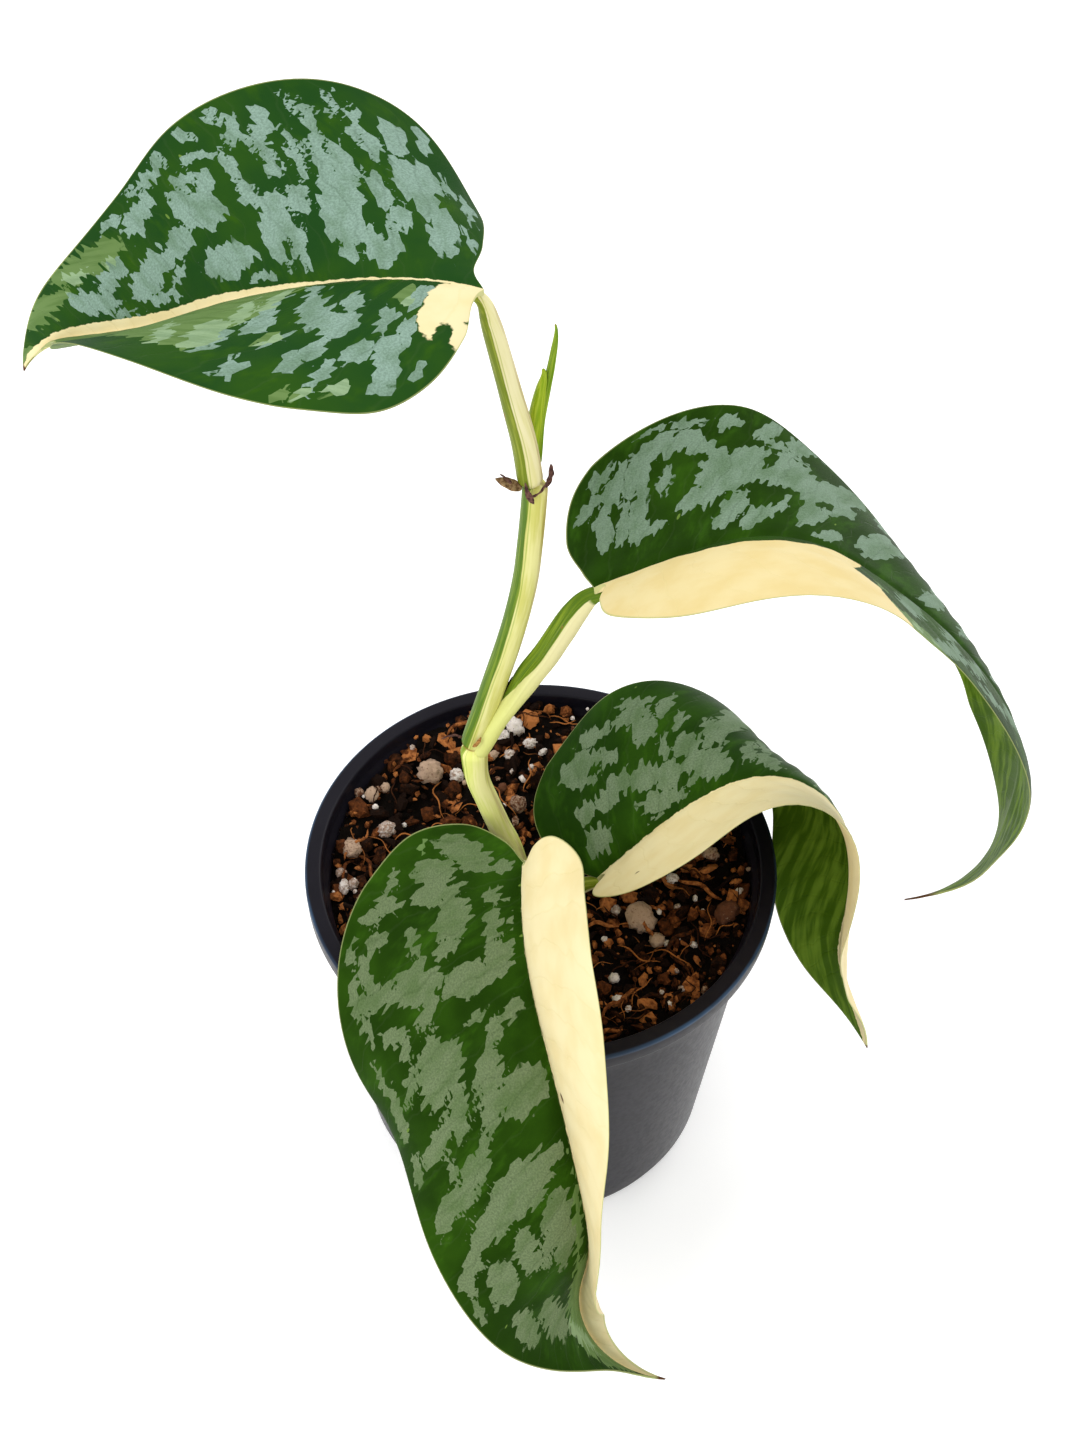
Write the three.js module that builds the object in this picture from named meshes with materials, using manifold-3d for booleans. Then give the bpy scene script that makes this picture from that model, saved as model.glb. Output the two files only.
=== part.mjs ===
// A potted lakambini scindapsus: a young climbing aroid with four half-cream leaves in a
// black nursery pot. Millimetres, +Z up, the origin at the middle of the pot's base.

import * as THREE from "three";
import { mergeVertices } from "three/addons/utils/BufferGeometryUtils.js";
import Module from "manifold-3d";

const wasm = await Module();
wasm.setup();

// Driving dimensions of the pot
const POT_HEIGHT = 90;
const RIM_RADIUS = 55.2;
const RIM_INNER_RADIUS = 51.3;
const RIM_BAND = 5.2;
const WALL_TOP_RADIUS = 51;
const BASE_RADIUS = 42;
const WALL = 1.4;
const FOOT_STEP = 2.5;
const FLOOR = 1.5;
const POT_SIDES = 48;
const DRAIN_RADIUS = 4;
const DRAIN_RING = 30;
const DRAINS = 6;
const DRAIN_SIDES = 16;

// Gaps between neighbours: round stalks and the filling, and under the blades
const CLEARANCE = 0.35;
const BLADE_CLEARANCE = 0.55;

// The filling: its level, the fall towards the wall and the grains that stand out of it
const SOIL_LEVEL = 81;
const SOIL_FALL = 1.2;
const SOIL_RINGS = 8;
const SOIL_SECTORS = 30;
const GRAINS = 46;
const GRAIN_RADIUS = [1.6, 4.4];
const GRAIN_SEED = 7;
const GRAIN_LIFT = 0.1;

// Blades
const BLADE_THICKNESS = 0.8;
const MIDRIB_DEPTH = 1.1;
const BLADE_ROWS = 28;
const BLADE_COLUMNS = [0, 0.1, 0.28, 0.48, 0.68, 0.86, 1];
const SPINE_STEPS = 120;
const ACROSS_LEAN = 1.4;
const LOBE_SHIFT = 0.05;
const RIPPLE = 0.7;

// How far round a stalk its groove reaches, in radians
const GROOVE_WIDTH = 0.6;

// Half of a flat blade's outline, from the stalk round the lobe to the tip: how far along
// the midrib (1 is the blade's length) and how far out (1 is the half's width)
const OUTLINE_ALONG = [0, -0.035, -0.07, -0.055, 0.03, 0.15, 0.31, 0.5, 0.68, 0.83, 0.93, 1];
const OUTLINE_OUT = [0, 0.12, 0.36, 0.64, 0.87, 0.985, 0.98, 0.82, 0.57, 0.3, 0.12, 0];

const COLOURS = {
  pot: 0x1d1e22,
  mix: 0x4a2c1e,
  stem: 0xb9c06a,
  shoot: 0x7fa52e,
  blade: 0x24522c,
  dried: 0x5a4536,
};

const degrees = (value) => (value * Math.PI) / 180;

// A smooth curve through equally spaced values, at s from 0 to 1
function along(values, s) {
  const last = values.length - 1;
  const ends = [2 * values[0] - values[1], ...values, 2 * values[last] - values[last - 1]];
  const place = Math.min(Math.max(s, 0), 1) * last;
  const i = Math.min(Math.floor(place), last - 1);
  const f = place - i;
  const [a, b, c, d] = ends.slice(i, i + 4);
  const linear = (c - a) * f;
  const square = (2 * a - 5 * b + 4 * c - d) * f * f;
  const cube = (3 * b - a - 3 * c + d) * f * f * f;
  return 0.5 * (2 * b + linear + square + cube);
}

// A repeatable sequence of numbers from 0 to 1
function seeded(seed) {
  const [factor, step, size] = [1664525, 1013904223, 2 ** 32];
  let state = seed;
  return () => {
    state = (state * factor + step) % size;
    return state / size;
  };
}

// Joins and cuts on closed meshes

function toSolid(geometry) {
  const bare = geometry.clone();
  bare.deleteAttribute("normal");
  bare.deleteAttribute("uv");
  const merged = mergeVertices(bare, 1e-4);
  const corners = merged.index.array;
  const kept = [];
  for (let i = 0; i < corners.length; i += 3) {
    const [a, b, c] = [corners[i], corners[i + 1], corners[i + 2]];
    if (a !== b && b !== c && c !== a) {
      kept.push(a, b, c);
    }
  }
  const mesh = new wasm.Mesh({
    numProp: 3,
    vertProperties: new Float32Array(merged.attributes.position.array),
    triVerts: new Uint32Array(kept),
  });
  return new wasm.Manifold(mesh);
}

function toGeometry(solid) {
  const mesh = solid.getMesh();
  const geometry = new THREE.BufferGeometry();
  geometry.setAttribute("position", new THREE.BufferAttribute(mesh.vertProperties, 3));
  geometry.setIndex(new THREE.BufferAttribute(mesh.triVerts, 1));
  return geometry;
}

// A cut can leave scraps: the piece is the largest body of what is left
function largest(solid) {
  return solid.decompose().sort((a, b) => b.volume() - a.volume())[0];
}

function named(name, solid, colour, roughness = 0.6) {
  const material = new THREE.MeshStandardMaterial({ color: colour, roughness, metalness: 0 });
  const mesh = new THREE.Mesh(toGeometry(solid), material);
  mesh.name = name;
  return mesh;
}

// Stalks: a rounded section carried along a smooth path. The section is a circle with a
// groove pressed in on the side that faces the channel direction.
// spec: points, radii, channel [x, y, z], groove 0 to 1 along the path, steps, sides

function stalkSolid(spec, grow = 0) {
  const curve = new THREE.CatmullRomCurve3(spec.points.map((p) => new THREE.Vector3(...p)));
  const channel = new THREE.Vector3(...(spec.channel ?? [1, 0, 0]));
  const positions = [];
  const ends = [];
  for (let i = 0; i <= spec.steps; i += 1) {
    const s = i / spec.steps;
    const centre = curve.getPointAt(s);
    const tangent = curve.getTangentAt(s);
    const towards = channel.clone().addScaledVector(tangent, -channel.dot(tangent)).normalize();
    const across = new THREE.Vector3().crossVectors(tangent, towards);
    const radius = along(spec.radii, s) + grow;
    const depth = spec.groove ? along(spec.groove, s) : 0;
    if (i === 0 || i === spec.steps) {
      centre.addScaledVector(tangent, i === 0 ? -grow : grow);
      ends.push(centre);
    }
    for (let k = 0; k < spec.sides; k += 1) {
      const angle = ((k + 0.5) / spec.sides) * 2 * Math.PI;
      const fromGroove = Math.min(angle, 2 * Math.PI - angle);
      const pressed = radius * (1 - depth * Math.exp(-((fromGroove / GROOVE_WIDTH) ** 2)));
      const point = centre.clone();
      point.addScaledVector(towards, pressed * Math.cos(angle));
      point.addScaledVector(across, pressed * Math.sin(angle));
      positions.push(point);
    }
  }
  return ringsSolid(positions, spec.sides, ends);
}

// Rings of points in order, closed by a fan at each end
function ringsSolid(points, sides, ends) {
  const rings = points.length / sides;
  const corners = [];
  for (let i = 0; i < rings - 1; i += 1) {
    for (let k = 0; k < sides; k += 1) {
      const a = i * sides + k;
      const b = i * sides + ((k + 1) % sides);
      corners.push(a, b, b + sides, a, b + sides, a + sides);
    }
  }
  const top = (rings - 1) * sides;
  for (let k = 0; k < sides; k += 1) {
    const next = (k + 1) % sides;
    corners.push(points.length, next, k);
    corners.push(points.length + 1, top + k, top + next);
  }
  return solidFrom([...points, ...ends], corners);
}

function solidFrom(points, corners) {
  const geometry = new THREE.BufferGeometry();
  const flat = points.flatMap((p) => [p.x, p.y, p.z]);
  geometry.setAttribute("position", new THREE.Float32BufferAttribute(flat, 3));
  geometry.setIndex(corners);
  return toSolid(geometry);
}

// Blades: a flat outline is laid on a midrib that bends in space. Along the midrib, pitch
// is the climb, yaw the turn to the left and roll the tilt of the whole blade. Each half
// leaves the midrib at its fold angle and curls down along an arc towards its margin.

function spineOf(leaf) {
  const frames = [];
  const place = new THREE.Vector3(...leaf.base);
  let before = null;
  for (let i = 0; i <= SPINE_STEPS; i += 1) {
    const s = i / SPINE_STEPS;
    const pitch = degrees(along(leaf.pitch, s));
    const heading = degrees(leaf.heading + along(leaf.yaw, s));
    const roll = degrees(along(leaf.roll, s));
    const level = Math.cos(pitch);
    const tangent = new THREE.Vector3(
      level * Math.cos(heading), level * Math.sin(heading), Math.sin(pitch));
    const side = new THREE.Vector3(-Math.sin(heading), Math.cos(heading), 0);
    const normal = new THREE.Vector3().crossVectors(tangent, side);
    if (before) {
      place.addScaledVector(before.clone().add(tangent), leaf.length / SPINE_STEPS / 2);
    }
    before = tangent;
    frames.push({
      point: place.clone(),
      tangent,
      left: side.clone().multiplyScalar(Math.cos(roll)).addScaledVector(normal, Math.sin(roll)),
      up: normal.clone().multiplyScalar(Math.cos(roll)).addScaledVector(side, -Math.sin(roll)),
    });
  }
  return frames;
}

function spineAt(frames, s) {
  const place = Math.min(Math.max(s, 0), 1) * SPINE_STEPS;
  const i = Math.min(Math.floor(place), SPINE_STEPS - 1);
  const f = place - i;
  const mix = (key) => frames[i][key].clone().lerp(frames[i + 1][key], f);
  return { point: mix("point"), tangent: mix("tangent"), left: mix("left"), up: mix("up") };
}

function outlineAt(tau, half) {
  const lobe = Math.sin(Math.PI * Math.min(tau / 0.5, 1));
  return {
    x: along(OUTLINE_ALONG, tau) + (1 - half.lobe) * LOBE_SHIFT * lobe,
    y: Math.max(along(OUTLINE_OUT, tau), 0) * half.width,
  };
}

// One point of a half: tau runs from the stalk to the tip, t from the midrib to the margin
function bladePoint(leaf, frames, half, sign, tau, t) {
  const rim = outlineAt(tau, half);
  const x = tau ** ACROSS_LEAN * (1 - t) + rim.x * t;
  const y = rim.y * t;
  const frame = spineAt(frames, x);
  const kept = Math.min(Math.max(x, 0), 1);
  const curl = (degrees(along(half.curl, kept)) / half.width) * y / 2;
  const chord = curl === 0 ? y : (y * Math.sin(curl)) / curl;
  const angle = degrees(along(half.fold, kept)) - curl;
  const ripple = RIPPLE * (t ** 3) * Math.sin(Math.PI * tau) * Math.sin(leaf.ripples * tau + leaf.phase);
  return frame.point
    .addScaledVector(frame.tangent, Math.min(x, 0) * leaf.length)
    .addScaledVector(frame.left, sign * chord * Math.cos(angle))
    .addScaledVector(frame.up, chord * Math.sin(angle) + ripple);
}

// The triangles of one half's grid of point numbers, none of them where rows meet in a point
function gridCorners(grid, sign) {
  const corners = [];
  for (let i = 0; i < grid.length - 1; i += 1) {
    for (let j = 0; j < grid[i].length - 1; j += 1) {
      const [a, b, c, d] = [grid[i][j], grid[i + 1][j], grid[i + 1][j + 1], grid[i][j + 1]];
      for (const [p, q, r] of [[a, b, c], [a, c, d]]) {
        if (p !== q && q !== r && r !== p) {
          corners.push(sign > 0 ? [p, q, r] : [p, r, q]);
        }
      }
    }
  }
  return corners;
}

// The blade's middle surface as points and triangles, both halves sharing the midrib.
// rim lists the points round the margin, middle those on the midrib, and beside those of
// the two columns next to it, each with its row.
function bladeSheet(leaf) {
  const frames = spineOf(leaf);
  const points = [];
  const last = BLADE_COLUMNS.length - 1;
  const put = (half, sign, i, t) =>
    points.push(bladePoint(leaf, frames, half, sign, i / BLADE_ROWS, t)) - 1;
  const middle = [];
  for (let i = 0; i <= BLADE_ROWS; i += 1) {
    middle.push(put(leaf.left, 1, i, 0));
  }
  const halfGrid = (half, sign) =>
    middle.map((index, i) => BLADE_COLUMNS.map((t, j) => {
      const shared = j === 0 || i === 0 || i === BLADE_ROWS;
      return shared ? index : put(half, sign, i, t);
    }));
  const left = halfGrid(leaf.left, 1);
  const right = halfGrid(leaf.right, -1);
  const corners = [...gridCorners(left, 1), ...gridCorners(right, -1)];
  const beside = [left, right].flatMap((grid) =>
    grid.flatMap((row, i) => [{ index: row[1], row: i }, { index: row[2], row: i }]));
  const back = right.map((row) => row[last]).slice(1, -1).reverse();
  const rim = [...left.map((row) => row[last]), ...back];
  return { points, corners, rim, middle, beside };
}

// A blade of even thickness with a deeper midrib below. A grown one, for cutting its room
// out of a neighbour, is thicker on both sides, wider at the rim and has a wider midrib.
function bladeSolid(leaf, grow = 0) {
  const { points, corners, rim, middle, beside } = bladeSheet(leaf);
  const normals = points.map(() => new THREE.Vector3());
  const spread = points.map(() => new THREE.Vector3());
  for (const [p, q, r] of corners) {
    const face = new THREE.Vector3().crossVectors(
      points[q].clone().sub(points[p]), points[r].clone().sub(points[p]));
    normals[p].add(face);
    normals[q].add(face);
    normals[r].add(face);
  }
  const half = BLADE_THICKNESS / 2 + grow;
  const depths = points.map(() => half);
  const ribDepth = (row) => half + MIDRIB_DEPTH * (1 - row / BLADE_ROWS);
  if (grow > 0) {
    beside.forEach(({ index, row }) => {
      depths[index] = ribDepth(row);
    });
  }
  middle.forEach((index, row) => {
    depths[index] = ribDepth(row);
  });
  normals.forEach((normal) => normal.normalize());
  rim.forEach((index, i) => {
    const before = points[rim[(i + rim.length - 1) % rim.length]];
    const after = points[rim[(i + 1) % rim.length]];
    spread[index].crossVectors(normals[index], after.clone().sub(before)).setLength(grow);
  });
  points.forEach((point, i) => point.add(spread[i]));
  const upper = points.map((p, i) => p.clone().addScaledVector(normals[i], half));
  const lower = points.map((p, i) => p.clone().addScaledVector(normals[i], -depths[i]));
  const count = points.length;
  const faces = [];
  for (const [p, q, r] of corners) {
    faces.push(p, q, r, p + count, r + count, q + count);
  }
  for (let i = 0; i < rim.length; i += 1) {
    const a = rim[i];
    const b = rim[(i + 1) % rim.length];
    faces.push(a, b, b + count, a, b + count, a + count);
  }
  return solidFrom([...upper, ...lower], faces);
}

const LEAVES = {
  leaf_1: {
    base: [-14, 3, 262],
    heading: 159,
    length: 124,
    pitch: [4, -13, -25, -37, -32, -36, -63],
    yaw: [10, 10, -1, -10, -8],
    roll: [4, -2, -3, -12, -18],
    left: { width: 40, lobe: -0.6, fold: [2, 29, 38], curl: [28, 7, -5, 0] },
    right: { width: 43, lobe: -1.2, fold: [-3, 40, 54], curl: [49, -4, -8, 0] },
    ripples: 31,
    phase: 0.4,
  },
  leaf_2: {
    base: [9, 2, 183],
    heading: 0,
    length: 187,
    pitch: [32, 25, -30, -39, -56, -89, -103, -169],
    yaw: [-1, 1, -19, -14, 5],
    roll: [-16, -21, -19, -2, 39],
    left: { width: 45, lobe: 0.3, fold: [14, 6, -10, 27], curl: [-20, 6, 94, 139] },
    right: { width: 33, lobe: -1.1, fold: [23, 11, 15, -15], curl: [50, 8, 28, 135] },
    ripples: 22,
    phase: 1.3,
  },
  leaf_3: {
    base: [13, -4, 90],
    heading: -3,
    length: 155,
    pitch: [54, 44, 15, -45, -82, -93, -68, -69],
    yaw: [12, 17, -30, -30, -30],
    roll: [-3, -4, -26, -21, -34, -42],
    left: { width: 42, lobe: 0.6, fold: [39, 1, -37, -41], curl: [45, 39, 65, 86, 92] },
    right: { width: 35, lobe: -1.5, fold: [37, 18, 5, 14], curl: [-8, -13, 3, 10, 18] },
    ripples: 26,
    phase: 2.1,
  },
  leaf_4: {
    base: [-4, -16.6, 112],
    heading: -75,
    length: 159,
    pitch: [-5, -11, -36, -61, -93, -77, 15],
    yaw: [-18, 2, 2, 27, 62],
    roll: [53, 46, 46, 32, 1],
    left: { width: 38, lobe: -1, fold: [34, 45, 62, 55], curl: [47, 15, -5, 6] },
    right: { width: 48, lobe: 1.4, fold: [22, 53, 61, 62], curl: [-19, 87, 72, -20] },
    ripples: 28,
    phase: 0.9,
  },
};

const STALKS = {
  stem: {
    points: [
      [-3, 4, 56], [-4, 4, 72], [-7, 3.5, 90], [-10, 3, 100], [-12.8, 2.5, 110], [-15.2, 2, 120],
      [-16, 2, 129], [-14.8, 2.2, 138], [-11.8, 2.8, 152], [-8.6, 3.5, 166], [-6.2, 4, 179],
      [-4.6, 3.8, 193], [-3.9, 3.2, 205], [-3.9, 3, 213],
    ],
    radii: [3, 2.9, 2.85, 2.85, 3.1, 2.8, 2.75, 2.6, 2.5, 2.5],
    steps: 36,
    sides: 12,
  },
  petiole_1: {
    points: [
      [-3.9, 3, 213.4], [-5.8, 3, 224], [-8.3, 3, 234.3], [-10.5, 3, 244.6], [-12.7, 3, 254.5],
      [-14, 3, 259], [-16.5, 3.6, 260.4],
    ],
    radii: [2.6, 2.65, 2.6, 2.4, 2.3, 2.1, 1.1],
    channel: [0.8, 0.6, 0.1],
    groove: [0.35, 0.3, 0.2, 0.25, 0.4, 0.3],
    steps: 24,
    sides: 14,
  },
  petiole_2: {
    points: [
      [-13.6, 2, 128], [-11.6, 2, 134.6], [-8.4, 2, 144.4], [-3.9, 2, 154.3], [0.6, 2, 164.6],
      [4.6, 2, 173.7], [7.6, 2, 179.6], [11.5, 1.8, 181.6],
    ],
    radii: [2.6, 2.9, 3, 3.1, 3.1, 2.9, 2.3, 1.1],
    channel: [-0.75, -0.45, 0.4],
    groove: [0.1, 0.25, 0.5, 0.5, 0.45, 0.3],
    steps: 26,
    sides: 14,
  },
  petiole_3: {
    points: [[2, 1, 57], [3, 0.5, 70], [6, -1, 80], [10.5, -3.2, 86.4], [13.6, -4.1, 88.6]],
    radii: [2.3, 2.3, 2.3, 2.2, 1.2],
    channel: [-0.6, 0.2, 0.8],
    groove: [0, 0.1, 0.3, 0.3],
    steps: 14,
    sides: 12,
  },
  petiole_4: {
    points: [[-2, -5, 57], [-2, -5.8, 75], [-2.6, -8, 92], [-3.5, -12.4, 105], [-3.9, -18.3, 110.7]],
    radii: [2.3, 2.3, 2.3, 2.2, 1.2],
    channel: [0, 1, 0.3],
    groove: [0, 0.1, 0.3, 0.3],
    steps: 16,
    sides: 12,
  },
};

const SHOOT_ROLL = {
  points: [
    [-3.4, 6, 214], [-3.4, 7.2, 221], [-2.9, 8, 231], [-1.5, 8.2, 239], [-0.6, 8, 245],
    [-0.6, 8, 249.5],
  ],
  radii: [1.5, 1.5, 1.4, 1.2, 1.1, 0.35],
  steps: 16,
  sides: 10,
};

const SHOOT_SHEATH = {
  points: [[-3.4, 6, 214.5], [-3.5, 7.2, 221], [-3.1, 7.7, 230], [-2.5, 7.9, 236], [-2.5, 7.9, 238.2]],
  radii: [1.8, 1.8, 1.7, 1, 0.3],
  steps: 10,
  sides: 10,
};

// Torn brown sheath at the upper node: a ragged collar and the flakes that hang off it
const COLLAR = { centre: [-3.9, 3, 213.2], radius: 3.35, height: 1.5, wall: 0.6, tilt: 16 };
const FLAKES = [
  { points: [[-6.9, 2, 212.6], [-9, 1.6, 213.4], [-11.6, 1, 214.9]], radii: [0.9, 1, 0.25] },
  { points: [[-4.8, -0.2, 213.8], [-4.4, -0.8, 212.2], [-3.9, -1, 210.4]], radii: [0.6, 0.6, 0.25] },
  { points: [[-0.8, 3.6, 213], [-0.9, 4.1, 214.6], [-1.4, 4.6, 216.4]], radii: [0.8, 0.8, 0.25] },
];

// Pot

const BAND_BOTTOM = POT_HEIGHT - RIM_BAND;
const FOOT_TOP_RADIUS = BASE_RADIUS + 0.5;

// The wall's outer radius at a height between the foot and the rim's band
function wallRadius(z) {
  const share = (z - FOOT_STEP) / (BAND_BOTTOM - FOOT_STEP);
  return FOOT_TOP_RADIUS + (WALL_TOP_RADIUS - FOOT_TOP_RADIUS) * share;
}

function potSolid() {
  const chamfer = 0.4;
  const lip = 0.6;
  const profile = [
    [0, 0], [BASE_RADIUS - 2 * chamfer, 0], [BASE_RADIUS, 2 * chamfer], [BASE_RADIUS, FOOT_STEP],
    [FOOT_TOP_RADIUS, FOOT_STEP + chamfer], [WALL_TOP_RADIUS, BAND_BOTTOM],
    [RIM_RADIUS - chamfer, BAND_BOTTOM], [RIM_RADIUS, BAND_BOTTOM + chamfer],
    [RIM_RADIUS, POT_HEIGHT - lip], [RIM_RADIUS - lip, POT_HEIGHT],
    [RIM_INNER_RADIUS + lip / 2, POT_HEIGHT], [RIM_INNER_RADIUS, POT_HEIGHT - lip / 2],
    [RIM_INNER_RADIUS - 0.2, BAND_BOTTOM + WALL + lip], [WALL_TOP_RADIUS - WALL, BAND_BOTTOM],
    [FOOT_TOP_RADIUS - WALL, FOOT_STEP + WALL], [BASE_RADIUS - 3, FLOOR], [0, FLOOR],
  ];
  const lathe = new THREE.LatheGeometry(
    profile.map(([r, z]) => new THREE.Vector2(r, z)), POT_SIDES);
  lathe.rotateX(Math.PI / 2);
  let pot = toSolid(lathe);
  for (let i = 0; i < DRAINS; i += 1) {
    const angle = (i / DRAINS) * 2 * Math.PI;
    const hole = new THREE.CylinderGeometry(DRAIN_RADIUS, DRAIN_RADIUS, 4 * FLOOR, DRAIN_SIDES);
    hole.rotateX(Math.PI / 2);
    hole.translate(DRAIN_RING * Math.cos(angle), DRAIN_RING * Math.sin(angle), FLOOR / 2);
    pot = pot.subtract(toSolid(hole));
  }
  return pot;
}

// Potting mix

const soilTop = (x, y) =>
  SOIL_LEVEL +
  0.9 * Math.sin(0.21 * x + 1) * Math.cos(0.17 * y) +
  0.6 * Math.sin(0.43 * x - 0.35 * y) -
  SOIL_FALL * (Math.hypot(x, y) / WALL_TOP_RADIUS) ** 4;

// The body of the mix: rings over the top, one at the foot of the wall and one on the floor
function soilBody() {
  const innerAt = (z) => wallRadius(z) - WALL - CLEARANCE - 0.2;
  const floor = FLOOR + CLEARANCE;
  const foot = FOOT_STEP + 2.5;
  const edge = innerAt(SOIL_LEVEL - 2);
  const points = [new THREE.Vector3(0, 0, soilTop(0, 0))];
  const ringPoint = (radius, k, height) => {
    const angle = (k / SOIL_SECTORS) * 2 * Math.PI;
    const x = radius * Math.cos(angle);
    const y = radius * Math.sin(angle);
    return new THREE.Vector3(x, y, height ?? soilTop(x, y));
  };
  const rings = [];
  for (let i = 1; i <= SOIL_RINGS; i += 1) {
    rings.push((k) => ringPoint((edge * i) / SOIL_RINGS, k));
  }
  rings.push((k) => ringPoint(innerAt(foot), k, foot));
  rings.push((k) => ringPoint(BASE_RADIUS - 4, k, floor));
  for (const ring of rings) {
    for (let k = 0; k < SOIL_SECTORS; k += 1) {
      points.push(ring(k));
    }
  }
  const bottom = points.push(new THREE.Vector3(0, 0, floor)) - 1;
  const corners = [];
  const at = (i, k) => 1 + i * SOIL_SECTORS + (k % SOIL_SECTORS);
  for (let k = 0; k < SOIL_SECTORS; k += 1) {
    corners.push(0, at(0, k), at(0, k + 1));
    for (let i = 0; i < rings.length - 1; i += 1) {
      corners.push(at(i, k), at(i + 1, k), at(i + 1, k + 1), at(i, k), at(i + 1, k + 1), at(i, k + 1));
    }
    corners.push(bottom, at(rings.length - 1, k + 1), at(rings.length - 1, k));
  }
  return solidFrom(points, corners);
}

// Bark chips and perlite: irregular lumps sunk nearly by half into the surface
function grainSolids() {
  const random = seeded(GRAIN_SEED);
  const grains = [];
  while (grains.length < GRAINS) {
    const radius = GRAIN_RADIUS[0] + (GRAIN_RADIUS[1] - GRAIN_RADIUS[0]) * random() ** 2;
    const reach = (WALL_TOP_RADIUS - WALL - 2 - radius) * Math.sqrt(random());
    const angle = 2 * Math.PI * random();
    const [x, y] = [reach * Math.cos(angle), reach * Math.sin(angle)];
    const lump = new THREE.IcosahedronGeometry(radius, 0);
    lump.scale(1, 0.6 + 0.4 * random(), 0.5 + 0.3 * random());
    lump.rotateX(0.6 * random());
    lump.rotateZ(2 * Math.PI * random());
    lump.translate(x, y, soilTop(x, y) + GRAIN_LIFT * radius);
    grains.push(toSolid(lump));
  }
  return grains;
}

function soilSolid(standing) {
  let soil = soilBody();
  for (const grain of grainSolids()) {
    soil = soil.add(grain);
  }
  for (const spec of standing) {
    soil = soil.subtract(stalkSolid(spec, CLEARANCE));
  }
  return largest(soil);
}

function shootSolid(neighbour) {
  const shoot = stalkSolid(SHOOT_ROLL).add(stalkSolid(SHOOT_SHEATH));
  return largest(shoot.subtract(stalkSolid(neighbour, CLEARANCE)));
}

function driedSheathSolid(neighbours) {
  const ring = (radius, height) => {
    const band = new THREE.CylinderGeometry(radius, radius, height, 18);
    band.rotateX(Math.PI / 2);
    band.rotateY(degrees(COLLAR.tilt));
    band.translate(...COLLAR.centre);
    return toSolid(band);
  };
  let sheath = ring(COLLAR.radius + COLLAR.wall / 2, COLLAR.height);
  for (const flake of FLAKES) {
    sheath = sheath.add(stalkSolid({ ...flake, steps: 5, sides: 6 }));
  }
  for (const spec of neighbours) {
    sheath = sheath.subtract(stalkSolid(spec, CLEARANCE));
  }
  return largest(sheath);
}

// The plant in its pot

function build() {
  const plant = new THREE.Group();
  plant.add(named("pot", potSolid(), COLOURS.pot, 0.45));
  const standing = [STALKS.stem, STALKS.petiole_3, STALKS.petiole_4];
  plant.add(named("potting_mix", soilSolid(standing), COLOURS.mix, 0.95));
  plant.add(named("stem", stalkSolid(STALKS.stem), COLOURS.stem));
  for (const number of [1, 2, 3, 4]) {
    const leaf = LEAVES[`leaf_${number}`];
    let stalk = stalkSolid(STALKS[`petiole_${number}`]).subtract(bladeSolid(leaf, BLADE_CLEARANCE));
    if (number <= 2) {
      stalk = stalk.subtract(stalkSolid(STALKS.stem, CLEARANCE));
    }
    plant.add(named(`petiole_${number}`, largest(stalk), COLOURS.stem));
    plant.add(named(`leaf_${number}`, bladeSolid(leaf), COLOURS.blade, 0.5));
  }
  plant.add(named("new_shoot", shootSolid(STALKS.petiole_1), COLOURS.shoot));
  const wrapped = [STALKS.stem, STALKS.petiole_1, SHOOT_ROLL, SHOOT_SHEATH];
  plant.add(named("dried_sheath", driedSheathSolid(wrapped), COLOURS.dried, 0.9));
  return plant;
}

export default build();
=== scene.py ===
# %% [markdown]
# # A potted lakambini scindapsus
# A young climbing aroid stands in a black nursery pot of bark mix. Its four long leaves are
# split down the midrib: one half is dark green with silver patches, the other butter cream.
# The solids of the imported model give every size and place. This script dresses them: it lays
# fine surfaces over the same forms and gives each one a finish made of shader nodes.
# All shapes are worked out in millimetres and turned into metres when a mesh is made.

# %% Load the imported model
import math

import bmesh
import bpy
import numpy as np
from mathutils import Matrix, Vector


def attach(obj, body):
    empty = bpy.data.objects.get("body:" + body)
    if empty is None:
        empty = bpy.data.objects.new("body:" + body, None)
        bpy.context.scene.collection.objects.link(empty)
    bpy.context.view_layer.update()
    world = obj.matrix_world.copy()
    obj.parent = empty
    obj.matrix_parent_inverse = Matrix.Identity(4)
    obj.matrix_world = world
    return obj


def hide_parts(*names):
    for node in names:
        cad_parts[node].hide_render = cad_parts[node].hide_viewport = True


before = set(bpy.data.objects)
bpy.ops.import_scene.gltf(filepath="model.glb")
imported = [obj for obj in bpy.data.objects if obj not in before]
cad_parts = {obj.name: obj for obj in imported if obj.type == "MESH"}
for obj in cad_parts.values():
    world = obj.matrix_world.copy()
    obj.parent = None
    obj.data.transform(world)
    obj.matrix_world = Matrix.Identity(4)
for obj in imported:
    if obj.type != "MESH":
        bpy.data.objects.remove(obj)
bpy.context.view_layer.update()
MM = 0.001
print("nodes:", ", ".join(sorted(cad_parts)))

# %% [markdown]
# ## Where the camera stands
# The photograph looks down on the pot at about fifty degrees. A camera could be moved by eye until
# the picture fits. Here the distance follows from how much larger the upper leaf looks than the
# pot, the roll from the slant of the rim, and the lens from a focal length counted in the
# photograph's pixels.

# %% The camera
PHOTO_HEIGHT = 1448
FOCAL_PIXELS = 2650
CAMERA_TILT = 50.3
CAMERA_ROLL = 1.8
CAMERA_DISTANCE = 580
CAMERA_TARGET = (-0.6, 0, 140.7)
SENSOR = 36
NEAREST_SEEN = 0.01


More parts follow.
